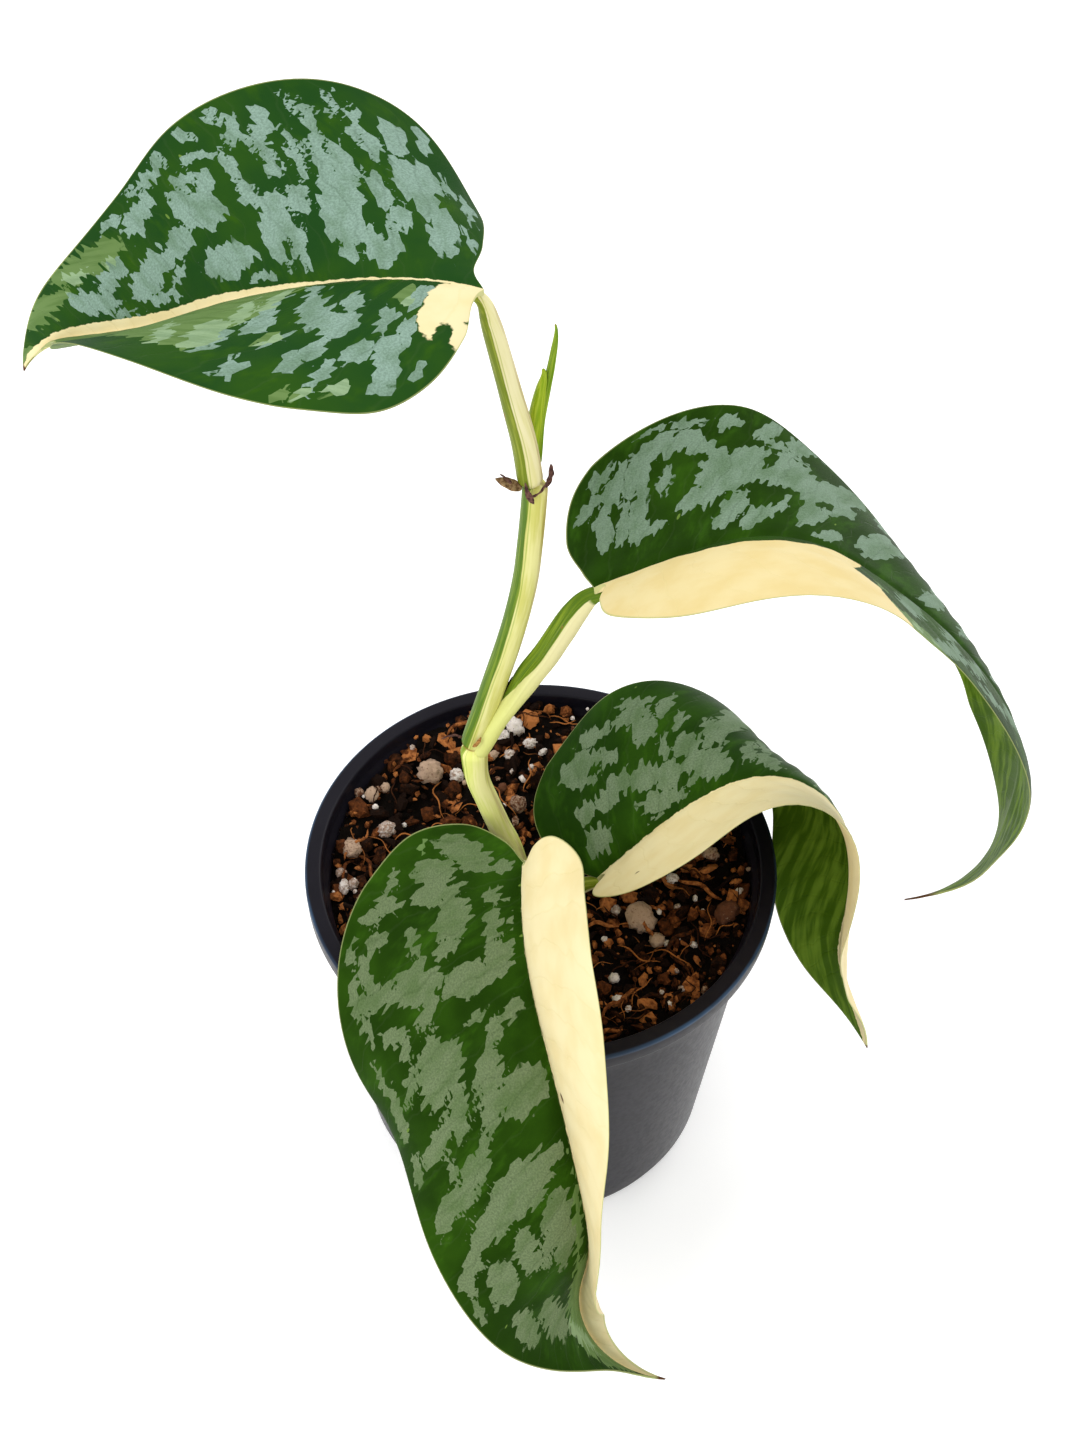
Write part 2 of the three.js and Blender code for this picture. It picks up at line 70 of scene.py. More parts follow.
def add_camera():
    """A camera that looks at the target from the tilt above the horizon, turned by the roll."""
    tilt = math.radians(CAMERA_TILT)
    back = Vector((0, -math.cos(tilt), math.sin(tilt)))
    right = Vector((1, 0, 0))
    turn = Matrix.Rotation(math.radians(CAMERA_ROLL), 3, back)
    right.rotate(turn)
    up = back.cross(right)
    facing = Matrix((right, up, back)).transposed().to_4x4()
    place = (Vector(CAMERA_TARGET) + back * CAMERA_DISTANCE) * MM
    data = bpy.data.cameras.new("camera")
    data.sensor_width = SENSOR
    data.lens = SENSOR * FOCAL_PIXELS / PHOTO_HEIGHT
    data.clip_start = NEAREST_SEEN
    camera = bpy.data.objects.new("camera", data)
    camera.matrix_world = Matrix.Translation(place) @ facing
    bpy.context.scene.collection.objects.link(camera)
    bpy.context.scene.camera = camera
    print("camera at", [round(v, 3) for v in place], "lens", round(data.lens, 1))


add_camera()

# %% [markdown]
# ## Surfaces from arrays
# Stalks, leaf blades and the pot's wall are closed skins. They could be extruded by hand. Here a
# piece is one array of closed rings, such as the sections of a stalk or the belts round a blade,
# and a fan of triangles to a pole closes each open end.

# %% Rings of points made into a mesh


def ring_faces(rings, sides):
    """Quads between each ring and the next, all the way round, then the two fans of triangles.
    Point number k of ring i is i * sides + k, and the two poles come after all the rings."""
    i, k = np.meshgrid(np.arange(rings - 1), np.arange(sides), indexing="ij")
    after = (k + 1) % sides
    quads = np.stack([i * sides + k, (i + 1) * sides + k, (i + 1) * sides + after, i * sides + after], -1)
    start, end = rings * sides, rings * sides + 1
    around = np.arange(sides)
    following = (around + 1) % sides
    first = np.stack([np.full(sides, start), around, following], -1)
    top = (rings - 1) * sides
    last = np.stack([np.full(sides, end), top + following, top + around], -1)
    return quads.reshape(-1, 4).tolist() + first.tolist() + last.tolist()


def signed_volume(points, faces):
    """The volume inside closed faces: a sixth of the sum of a . (b x c) over their triangles."""
    fans = [(f[0], f[i], f[i + 1]) for f in faces for i in range(1, len(f) - 1)]
    a, b, c = (points[list(corner)] for corner in zip(*fans))
    return float(np.einsum("ij,ij->i", a, np.cross(b, c)).sum() / 6)


def add_piece(name, points, faces, values=None, material=None, smooth=True):
    """A mesh object from points in millimetres, with one vector attribute for each of values."""
    points = np.asarray(points, float).reshape(-1, 3)
    if signed_volume(points, faces) < 0:
        faces = [face[::-1] for face in faces]
    mesh = bpy.data.meshes.new(name)
    mesh.from_pydata((points * MM).tolist(), [], faces)
    mesh.polygons.foreach_set("use_smooth", np.full(len(mesh.polygons), smooth))
    for key, numbers in (values or {}).items():
        attribute = mesh.attributes.new(key, "FLOAT_VECTOR", "POINT")
        attribute.data.foreach_set("vector", np.asarray(numbers, np.float32).ravel())
    piece = bpy.data.objects.new(name, mesh)
    bpy.context.scene.collection.objects.link(piece)
    if material:
        mesh.materials.append(material)
    print(name, len(points), "points,", len(faces), "faces")
    return piece


def stand_for(piece, slot, *nodes):
    """Rides the piece with the plant and lets it stand for its solids. The slot is not used."""
    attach(piece, "root")
    if nodes:
        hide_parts(*nodes)
    return piece


# %% [markdown]
# ## Smooth curves and small random heights
# Leaves and stalks bend without a kink. Bezier curves could be drawn for them, but here a measure
# that changes along a leaf is a short list at equal steps, and one cubic formula reads it. A
# Displace modifier could raise low bumps, but random heights on a lattice fit into any formula.

# %% Smooth curves through a few values


def along(values, s):
    """A smooth curve through equally spaced values, read at s from 0 to 1: the cubic through
    the four values round s, each end value being mirrored once past the end."""
    values = np.asarray(values, float)
    last = len(values) - 1
    ends = np.concatenate(([2 * values[0] - values[1]], values, [2 * values[-1] - values[-2]]))
    place = np.clip(s, 0, 1) * last
    i = np.minimum(place.astype(int), last - 1)
    f = place - i
    a, b, c, d = ends[i], ends[i + 1], ends[i + 2], ends[i + 3]
    linear = (c - a) * f
    square = (2 * a - 5 * b + 4 * c - d) * f**2
    cube = (3 * b - a - 3 * c + d) * f**3
    return 0.5 * (2 * b + linear + square + cube)


def lattice_noise(x, y, seed):
    """Smooth random heights from -1 to 1: random values on whole numbers, blended between."""
    table = np.random.default_rng(seed).uniform(-1, 1, (64, 64))
    i, j = np.floor(x).astype(int), np.floor(y).astype(int)
    u, v = x - i, y - j
    u, v = u * u * (3 - 2 * u), v * v * (3 - 2 * v)
    at = lambda di, dj: table[(i + di) % 64, (j + dj) % 64]
    near = at(0, 0) * (1 - u) + at(1, 0) * u
    far = at(0, 1) * (1 - u) + at(1, 1) * u
    return near * (1 - v) + far * v


# %% [markdown]
# ## Shader nodes with short calls
# Leaf skin, plastic and bark get their looks from webs of nodes. They could be placed by hand in
# the shader editor. A small helper adds nodes and joins their sockets instead, so that each finish
# below reads as a list of layers.

# %% The helper that wires nodes


class Wiring:
    """Adds nodes to one tree. Each call gives back the output socket that the next one needs."""

    def __init__(self, tree):
        """Keeps the tree that the nodes go into."""
        self.tree = tree

    def add(self, kind, inputs, output=0, **settings):
        """A node with its settings made, and each input joined to a socket or set to a value."""
        node = self.tree.nodes.new(kind)
        for key, value in settings.items():
            setattr(node, key, value)
        for key, value in inputs.items():
            if isinstance(value, bpy.types.NodeSocket):
                self.tree.links.new(value, node.inputs[key])
            else:
                node.inputs[key].default_value = value
        return node.outputs[output]

    def math(self, operation, a, b=0.0, clamp=False):
        """One step of arithmetic on two values."""
        return self.add("ShaderNodeMath", {0: a, 1: b}, operation=operation, use_clamp=clamp)

    def times(self, a, b):
        """The product of two values."""
        return self.math("MULTIPLY", a, b)

    def plus(self, a, b, clamp=False):
        """The sum of two values."""
        return self.math("ADD", a, b, clamp)

    def less(self, a, b):
        """The first value less the second."""
        return self.math("SUBTRACT", a, b)

    def step(self, value, low, high, start=0.0, end=1.0):
        """A smooth step from start to end as value goes from low to high."""
        names = {"Value": value, "From Min": low, "From Max": high, "To Min": start, "To Max": end}
        return self.add("ShaderNodeMapRange", names, interpolation_type="SMOOTHSTEP")

    def mix(self, share, a, b):
        """Colour a where share is 0 and colour b where it is 1."""
        return self.add("ShaderNodeMix", {0: share, 6: a, 7: b}, output=2, data_type="RGBA")

    def vector(self, x, y, z=0.0):
        """Three values put together to one vector."""
        return self.add("ShaderNodeCombineXYZ", {0: x, 1: y, 2: z})

    def parts(self, vector):
        """The three values of a vector or a colour."""
        node = self.tree.nodes.new("ShaderNodeSeparateXYZ")
        self.tree.links.new(vector, node.inputs[0])
        return node.outputs[0], node.outputs[1], node.outputs[2]

    def attribute(self, name):
        """A vector that add_piece stored at the points of the mesh."""
        return self.add("ShaderNodeAttribute", {}, output="Vector", attribute_name=name)

    def place(self):
        """Object coordinates in millimetres."""
        return self.scaled(self.add("ShaderNodeTexCoord", {}, output="Object"), 1000)

    def scaled(self, vector, scale):
        """A vector or a colour times one value."""
        return self.add("ShaderNodeVectorMath", {0: vector, "Scale": scale}, operation="SCALE")

    def noise(self, vector, scale=1.0, detail=2.0, roughness=0.5):
        """Soft clouds of values round 0.5. A larger scale makes smaller clouds."""
        names = {"Vector": vector, "Scale": scale, "Detail": detail, "Roughness": roughness}
        return self.add("ShaderNodeTexNoise", names)

    def cells(self, vector, output="Distance", dimensions="3D", scale=1.0):
        """Random cells: how far a point is from the nearest middle, or that middle's own place
        or colour."""
        names = {"Vector": vector, "Scale": scale}
        return self.add("ShaderNodeTexVoronoi", names, output=output, voronoi_dimensions=dimensions)

    def bump(self, height, distance, strength=1.0):
        """The normal of a relief in which a height of one stands distance metres high."""
        names = {"Height": height, "Distance": distance, "Strength": strength}
        return self.add("ShaderNodeBump", names, output="Normal")

    def group(self, tree, inputs):
        """A shared node group, placed with inputs of its own."""
        return self.add("ShaderNodeGroup", inputs, node_tree=tree)


def new_finish(name, **constants):
    """A material with one Principled shader. Constants are set on the shader's own sockets."""
    material = bpy.data.materials.new(name)
    material.use_nodes = True
    shader = material.node_tree.nodes["Principled BSDF"]
    for key, value in constants.items():
        shader.inputs[key.replace("_", " ")].default_value = value
    return material, shader, Wiring(material.node_tree)


def lay(wiring, shader, **sockets):
    """Joins sockets to the shader's inputs of the same name, such as Base_Color."""
    for key, socket in sockets.items():
        wiring.tree.links.new(socket, shader.inputs[key.replace("_", " ")])


def new_group(name, inputs, output):
    """A shader node group with float inputs (a vector where the default is None) and one float
    output."""
    tree = bpy.data.node_groups.new(name, "ShaderNodeTree")
    for key, default in inputs.items():
        socket_kind = "NodeSocketVector" if default is None else "NodeSocketFloat"
        socket = tree.interface.new_socket(key, in_out="INPUT", socket_type=socket_kind)
        if default is not None:
            socket.default_value = default
    tree.interface.new_socket(output, in_out="OUTPUT", socket_type="NodeSocketFloat")
    entry = tree.nodes.new("NodeGroupInput")
    leave = tree.nodes.new("NodeGroupOutput")
    return tree, Wiring(tree), entry.outputs, leave.inputs[0]


# %% [markdown]
# ## Effects that several finishes share
# Small specks, long streaks with the grain and a fine uneven skin come back on living and dead
# tissue. They could be painted on, but noise in a shader stays sharp from near. Each effect is a
# node group, built once and placed in each finish with its own size and amount.

# %% The shared node groups


def make_specks():
    """Small spots: 1 near the middle of some random cells and 0 elsewhere. Size is the cell's
    width, Share the part of the cells that have a spot, Radius a spot's size within its cell."""
    defaults = {"Vector": None, "Size": 3.0, "Share": 0.2, "Radius": 0.2}
    tree, w, entry, leave = new_group("specks", defaults, "Mask")
    scale = w.math("DIVIDE", 1.0, entry["Size"])
    spread = w.cells(entry["Vector"], scale=scale)
    chance = w.cells(entry["Vector"], output="Color", scale=scale)
    kept = w.math("LESS_THAN", w.parts(chance)[0], entry["Share"])
    edge = w.times(entry["Radius"], 1.3)
    spot = w.step(spread, edge, entry["Radius"])
    tree.links.new(w.times(spot, kept), leave)
    return tree


def make_streaks():
    """Long soft streaks: noise that is stretched along the first axis of the vector. Width is
    a streak's width and Stretch how many times longer it is."""
    defaults = {"Vector": None, "Width": 1.0, "Stretch": 12.0}
    tree, w, entry, leave = new_group("streaks", defaults, "Value")
    x, y, z = w.parts(entry["Vector"])
    long_x = w.math("DIVIDE", x, w.times(entry["Width"], entry["Stretch"]))
    spot = w.vector(long_x, w.math("DIVIDE", y, entry["Width"]), w.math("DIVIDE", z, entry["Width"]))
    tree.links.new(w.noise(spot, detail=3.0, roughness=0.55), leave)
    return tree


def make_skin():
    """The fine uneven skin of a surface: two noises, one coarse and one five times finer."""
    tree, w, entry, leave = new_group("skin", {"Vector": None, "Size": 0.5}, "Height")
    scale = w.math("DIVIDE", 1.0, entry["Size"])
    coarse = w.noise(entry["Vector"], scale=scale, detail=2.0)
    fine = w.noise(entry["Vector"], scale=w.times(scale, 5.0), detail=1.0)
    tree.links.new(w.plus(w.times(coarse, 0.7), w.times(fine, 0.3)), leave)
    return tree


SPECKS = make_specks()
STREAKS = make_streaks()
SKIN = make_skin()
print("node groups:", [group.name for group in bpy.data.node_groups])

# %% [markdown]
# ## The leaf blade as a surface
# A leaf is a thin sheet, folded along its midrib and curled at its edges. It could be sculpted,
# but its outline, bends and pattern have to meet at the same places. So all come from two numbers:
# tau, from the stalk to the tip, and t, from the midrib to the margin. The blade is worked out
# flat first.

# %% The four leaves' own measures
# The margin from the stalk to the tip: how far along as a share of the length, and how far out
# as a share of the width. The lobes reach back past the stalk, where along is below zero.
OUTLINE_ALONG = [0, -0.035, -0.07, -0.055, 0.03, 0.15, 0.31, 0.5, 0.68, 0.83, 0.93, 1]
OUTLINE_OUT = [0, 0.12, 0.36, 0.64, 0.87, 0.985, 0.98, 0.82, 0.57, 0.3, 0.12, 0]
ACROSS_LEAN = 1.4
LOBE_SHIFT = 0.05
LOBE_END = 0.5
SWELL_START = 0.04
RIPPLE = 0.7

# Lengths are in millimetres and angles in degrees. Pitch, yaw and roll belong to the midrib and
# fold and curl to each half, all at equal steps from the stalk to the tip. A taper is the share
# of the width that is lost, and where that starts and ends. A swell is its height as a share of
# the width, its middle and its spread.
LEAVES = {
    "leaf_1": {
        "base": [-14, 3, 262], "heading": 159, "length": 124,
        "pitch": [4, -13, -25, -37, -32, -36, -63],
        "yaw": [10, 10, -1, -10, -8],
        "roll": [4, -2, -3, -12, -18],
        "left": {
            "width": 40, "lobe": -0.6, "fold": [2, 29, 38], "curl": [28, 7, -5, 0],
            "taper": (0.95, 0.66, 0.9),
        },
        "right": {
            "width": 43, "lobe": -1.2, "fold": [-3, 40, 54], "curl": [49, -4, -8, 0],
            "swells": [(0.04, 0.6, 0.12)],
        },
        "ripples": 31, "phase": 0.4,
    },
    "leaf_2": {
        "base": [9, 2, 183], "heading": 0, "length": 187,
        "pitch": [32, 25, -30, -39, -56, -89, -103, -169],
        "yaw": [-1, 1, -19, -14, 5],
        "roll": [-16, -21, -19, -2, 39],
        "left": {
            "width": 45, "lobe": 0.3, "fold": [14, 6, -10, 27], "curl": [-20, 6, 94, 139],
            "swells": [(-0.16, 0.58, 0.07), (-0.14, 0.69, 0.045)],
        },
        "right": {
            "width": 33, "lobe": -1.1, "fold": [23, 11, 15, -15], "curl": [50, 8, 28, 135],
            "swells": [(-0.02, 0.5, 0.06), (-0.12, 0.6, 0.06), (-0.1, 0.71, 0.05)],
        },
        "ripples": 22, "phase": 1.3,
    },
    "leaf_3": {
        "base": [13, -4, 90], "heading": -3, "length": 155,
        "pitch": [54, 44, 15, -45, -82, -93, -68, -69],
        "yaw": [12, 17, -30, -30, -30],
        "roll": [-3, -4, -26, -21, -34, -42],
        "left": {"width": 42, "lobe": 0.6, "fold": [39, 1, -37, -41], "curl": [45, 39, 65, 86, 92]},
        "right": {"width": 35, "lobe": -1.5, "fold": [37, 18, 5, 14], "curl": [-8, -13, 3, 10, 18]},
        "ripples": 26, "phase": 2.1,
    },
    "leaf_4": {
        "base": [-4, -16.6, 112], "heading": -75, "length": 159,
        "pitch": [-5, -11, -36, -61, -99, -69, 13],
        "yaw": [-18, 2, 10, 29, 66],
        "roll": [53, 46, 46, 32, 1],
        "left": {
            "width": 38, "lobe": -1,
            "fold": [34, 34, 36, 37, 39, 54, 71, 62, 47, 30, 15],
            "curl": [47, 36, 20, 12, 8, 2, 0, 0, 0, 0, 0],
            "taper": (0.53, 0.45, 0.69), "swells": [(-0.06, 0.42, 0.08), (-0.05, 0.58, 0.06)],
        },
        "right": {"width": 48, "lobe": 1.4, "fold": [22, 53, 61, 62], "curl": [-19, 87, 72, -20]},
        "ripples": 28, "phase": 0.9,
    },
}
print("leaf lengths in millimetres:", {name: leaf["length"] for name, leaf in LEAVES.items()})

# %% [markdown]
# ## Laying the blade on its midrib
# A real midrib arches over and twists, and each half of the leaf stands off it like a wing. A
# Curve modifier could bend a flat sheet, but it would stay flat across. So the midrib is walked in
# small steps that keep their own left and up, and each half curls down from it along an arc.

# %% The blade laid on its midrib
SPINE_STEPS = 240


def spine(leaf):
    """The midrib's frames: at each step its place, its direction, and the directions to the
    left and up. The place is the sum of the directions so far, times the step's length."""
    s = np.linspace(0, 1, SPINE_STEPS + 1)
    pitch = np.radians(along(leaf["pitch"], s))
    heading = np.radians(leaf["heading"] + along(leaf["yaw"], s))
    roll = np.radians(along(leaf["roll"], s))[:, None]
    level = np.cos(pitch)
    tangent = np.stack([level * np.cos(heading), level * np.sin(heading), np.sin(pitch)], -1)
    side = np.stack([-np.sin(heading), np.cos(heading), 0 * heading], -1)
    normal = np.cross(tangent, side)
    steps = (tangent[1:] + tangent[:-1]) / 2 * leaf["length"] / SPINE_STEPS
    place = np.concatenate(([[0, 0, 0]], np.cumsum(steps, 0))) + leaf["base"]
    left = side * np.cos(roll) + normal * np.sin(roll)
    up = normal * np.cos(roll) - side * np.sin(roll)
    return np.stack([place, tangent, left, up])


def eased(v):
    """0 below 0, 1 above 1 and the smooth curve 3 v^2 - 2 v^3 between."""
    v = np.clip(v, 0, 1)
    return v * v * (3 - 2 * v)


def flat_half(leaf, half, tau, t):
    """Where a point of one half lies on the flat blade: x along the midrib as a share of the
    length, y out from it in millimetres. A taper takes a share of the width away between two
    values of tau, and each swell adds a low bell to the margin or takes it away."""
    shape = leaf[half]
    bulge = np.sin(np.pi * np.minimum(tau / LOBE_END, 1))
    rim_x = along(OUTLINE_ALONG, tau) + (1 - shape["lobe"]) * LOBE_SHIFT * bulge
    lost, start, end = shape.get("taper", (0, 0, 1))
    kept = 1 - lost * eased((tau - start) / (end - start))
    narrowed = np.maximum(along(OUTLINE_OUT, tau), 0) * kept
    for swell, middle, spread in shape.get("swells", []):
        bell = np.exp(-(((tau - middle) / spread) ** 2))
        narrowed = narrowed + swell * bell * eased(tau / SWELL_START)
    rim_y = np.maximum(narrowed, 0) * shape["width"]
    return tau**ACROSS_LEAN * (1 - t) + rim_x * t, rim_y * t


def bent_half(leaf, frames, half, tau, t):
    """The same point in space. The half is an arc across: its chord leaves the midrib at the
    fold angle less half the curl so far."""
    shape = leaf[half]
    x, y = flat_half(leaf, half, tau, t)
    steps = np.arange(SPINE_STEPS + 1) / SPINE_STEPS
    kept = np.clip(x, 0, 1)
    place, tangent, left, up = (
        np.stack([np.interp(kept, steps, part[:, axis]) for axis in range(3)], -1) for part in frames
    )
    curl = np.radians(along(shape["curl"], kept)) / shape["width"] * y / 2
    chord = y * np.sinc(curl / np.pi)
    angle = np.radians(along(shape["fold"], kept)) - curl
    waves = np.sin(np.pi * tau) * np.sin(leaf["ripples"] * tau + leaf["phase"])
    lift = chord * np.sin(angle) + RIPPLE * t**3 * waves
    sign = 1 if half == "left" else -1
    before = np.minimum(x, 0) * leaf["length"]
    return (
        place
        + tangent * before[..., None]
        + left * (sign * chord * np.cos(angle))[..., None]
        + up * lift[..., None]
    )


for leaf_name, leaf_measures in LEAVES.items():
    print(leaf_name, "tip at", spine(leaf_measures)[0, -1].round(1))

# %% [markdown]
# ## Side veins
# The side veins leave the midrib near the stalk and sweep towards the tip. They could be drawn one
# by one. But they turn gradually, so the place where a vein left the midrib is nearly one number
# all along it. With the distance walked along the vein it makes a second pair of coordinates, for
# the silver, the quilting and the streaks.

# %% The veins' own coordinates
VEIN_SPACING = 6.5
VEIN_AT = [-0.1, 0.15, 0.35, 0.6, 0.85, 1.0]
VEIN_SLOPE = [0.0, 0.35, 0.55, 0.75, 1.1, 1.4]


def vein_place(leaf, x, y):
    """How far along the midrib the vein through a point started, and how long it is so far:
    x less y times the slope there, and y times the slanted length of one step out."""
    slope = np.interp(x, VEIN_AT, VEIN_SLOPE)
    started = x * leaf["length"] - y * slope
    return started, y * np.sqrt(1 + slope**2)


# %% [markdown]
# ## A closed blade with a thickness
# A blade is less than a millimetre thick, with a groove over the midrib, a rounded rib below it
# and low swells between the side veins. A Solidify modifier gives a thickness, but neither groove
# nor rib. So the middle surface is moved up and down by its own amounts, and both faces are joined
# to belts that go round the blade.

# %% The blade as closed belts
BLADE_BELTS = 230
BLADE_COLUMNS = 52
EVEN_SHARE = 0.4
BLADE_THICKNESS = 0.7
GROOVE_WIDTH = 1.3
RIB_DEPTH = 1.1
RIB_WIDTH = 1.5
QUILT = 0.13
QUILT_FULL = 8
SWAY = 0.5
SWAY_LENGTH = 17
SWAY_SHIFT = 9
SWAY_FULL = 12


def crowded(count):
    """Numbers from 0 to 1 that lie closer together near both ends: an even row and half a
    cosine wave, mixed."""
    even = np.linspace(0, 1, count + 1)
    return EVEN_SHARE * even + (1 - EVEN_SHARE) * (1 - np.cos(np.pi * even)) / 2


def blade_grid(name):
    """The blade's middle surface, from the right margin across the midrib to the left one, with
    the flat place, the vein place and the distance to the margin of each point."""
    leaf = LEAVES[name]
    frames = spine(leaf)
    tau = crowded(BLADE_BELTS)[1:-1, None]
    t = crowded(BLADE_COLUMNS)[None, :]
    sides = {}
    for half, sign in (("left", 1), ("right", -1)):
        points = bent_half(leaf, frames, half, tau + 0 * t, t + 0 * tau)
        x, y = flat_half(leaf, half, tau, t)
        started, walked = vein_place(leaf, x, y)
        margin = (1 - t) * y[:, -1:]
        columns = [x * leaf["length"], sign * y, margin, started, walked, t + 0 * tau, tau + 0 * t]
        sides[half] = points, np.stack(columns, -1)
    join = lambda i: np.concatenate([sides["right"][i][:, :0:-1], sides["left"][i]], 1)
    return join(0), join(1), frames


def blade_faces_and_points(name):
    """The closed blade: the middle surface with its quilting and a slow sway, moved up by half
    the thickness on top and down by the rest below. It is thinner at the margin, grooved over
    the midrib and ribbed below it."""
    middle, facts, frames = blade_grid(name)
    x, y, margin, started, walked, t, tau = np.moveaxis(facts, -1, 0)
    normal = np.cross(np.gradient(middle, axis=0), np.gradient(middle, axis=1))
    normal /= np.linalg.norm(normal, axis=-1, keepdims=True)
    out = np.abs(y)
    quilt = QUILT * np.cos(2 * np.pi * started / VEIN_SPACING)
    quilt = quilt * np.clip(out / QUILT_FULL, 0, 1) * (1 - t**4)
    sway = SWAY * lattice_noise(x / SWAY_LENGTH, y / SWAY_LENGTH + SWAY_SHIFT, seed=int(name[-1]))
    sway = sway * np.clip(out / SWAY_FULL, 0, 1)
    middle = middle + normal * (quilt + sway)[..., None]
    half = BLADE_THICKNESS / 2 * np.sqrt(np.clip(1 - t**8, 0, 1))
    groove = 1 - np.exp(-((out / GROOVE_WIDTH) ** 2))
    rib = RIB_DEPTH * (1 - tau) * np.exp(-((out / RIB_WIDTH) ** 2))
    above = middle + normal * (half * groove)[..., None]
    below = middle - normal * (half + rib)[..., None]
    belts = np.concatenate([above, below[:, -2:0:-1]], 1)
    facts = np.concatenate([facts, facts[:, -2:0:-1]], 1)
    upper = np.concatenate([np.ones_like(t), np.zeros_like(t[:, -2:0:-1])], 1)
    poles = np.stack([frames[0, 0], frames[0, -1]])
    points = np.concatenate([belts.reshape(-1, 3), poles])
    spread = lambda v: np.concatenate([v.reshape(-1), v[0, :1], v[-1, :1]])
    table = [spread(facts[..., i]) for i in range(facts.shape[-1])]
    return points, ring_faces(*belts.shape[:2]), table, spread(upper)


# %% [markdown]
# ## Which parts of a leaf are cream
# One half of most leaves, or a part of it, has no green and looks like butter. Vertex paint could
# mark it, but its edge would be as coarse as the mesh. So a map says how far inside the cream each
# point is, in millimetres, and the shader draws a sharp or ragged edge where it passes zero.

# %% How deep a point lies inside a spot
OUTSIDE = -20.0


def spot_depth(spots, x, y):
    """How far inside the nearest of several leaning ellipses a point lies, in millimetres: one
    less the elliptic distance, times the shorter half axis. Negative outside them all. A spot
    doesn't reach over the midrib."""
    best = np.full(x.shape, OUTSIDE)
    for spot_x, spot_y, long, wide, lean in spots:
        turn = math.radians(lean)
        u = (x - spot_x) * math.cos(turn) + (y - spot_y) * math.sin(turn)
        v = (y - spot_y) * math.cos(turn) - (x - spot_x) * math.sin(turn)
        depth = (1 - np.hypot(u / long, v / wide)) * min(long, wide)
        best = np.maximum(best, np.where(y * spot_y > 0, depth, OUTSIDE))
    return best


# %% Where the blade is cream
# Each spot is its place along and across the blade, its half length, its half width and the
# angle of its long axis, in millimetres and degrees on the flat blade.
CREAM_PATCH = [(4.6, 6, 6.6, 5, 90), (7, 12, 5.4, 2.6, 100), (1.4, 14, 4.6, 1.7, 90), (1, 4, 6, 3, 90)]
CREAM_NOTCH = [(4.2, 16, 3.6, 1.5, 85), (10.6, 7.5, 2.4, 1.1, 90)]
PATCH_RAGGED = 0.45
STRIPE_AT = [0, 30, 45, 60, 85, 105, 118, 124]
STRIPE_WIDTH = [0.35, 0.45, 1.1, 2.1, 2.4, 2.0, 1.1, 0.3]
STRIPE_OVER = 0.35


def cream_1(x, y):
    """A stripe on the midrib that swells towards the tip, and a patch on the left basal lobe.
    The patch's depth is scaled down, so that its edge comes out more ragged."""
    width = np.interp(x, STRIPE_AT, STRIPE_WIDTH)
    stripe = np.where(y < 0, width + y, STRIPE_OVER * width - y)
    patch = np.minimum(spot_depth(CREAM_PATCH, x, y), -spot_depth(CREAM_NOTCH, x, y))
    return np.maximum(stripe, PATCH_RAGGED * patch)


CREAM_END_OUT = [0, 3, 8, 12, 14, 16, 22, 27, 34]
CREAM_END_AT = [60, 59, 56, 53, 53, 58, 58.5, 61, 66]
CREAM_END_RAGGED = 0.7
GREEN_OVER_AT = [10, 26, 44, 53]
GREEN_OVER = [0, 4.6, 5.0, 1.5]
DEEPEST = 12


def cream_2(x, y):
    """The right half as far as a slanting edge with one green notch in it. Near the middle of
    the leaf the green reaches a little over the midrib."""
    end = np.interp(-y, CREAM_END_OUT, CREAM_END_AT)
    green_over = np.interp(x, GREEN_OVER_AT, GREEN_OVER)
    return np.minimum(np.minimum(-y - green_over, CREAM_END_RAGGED * (end - x)), DEEPEST)


def cream_half(side, at, over):
    """The map of a leaf whose left half (side 1) or right half (side -1) is all cream, and
    reaches over the midrib a little at places along it."""
    return lambda x, y: np.minimum(side * y + np.interp(x, at, over), DEEPEST)


CREAM = {
    "leaf_1": cream_1,
    "leaf_2": cream_2,
    "leaf_3": cream_half(-1, [0, 60, 75, 90, 110], [0, 0.5, 2, 1, 0.5]),
    "leaf_4": cream_half(1, [0, 90, 120, 159], [0, 0.3, 0.8, 0.3]),
}

# %% [markdown]
# ## Silver patches
# The silver comes from small air spaces under the skin, in patches along the side veins. Noise
# alone would put such patches elsewhere. So each patch is a leaning ellipse at its own place, a
# few dark gaps are taken out again, and the shader tears the edges afterwards.

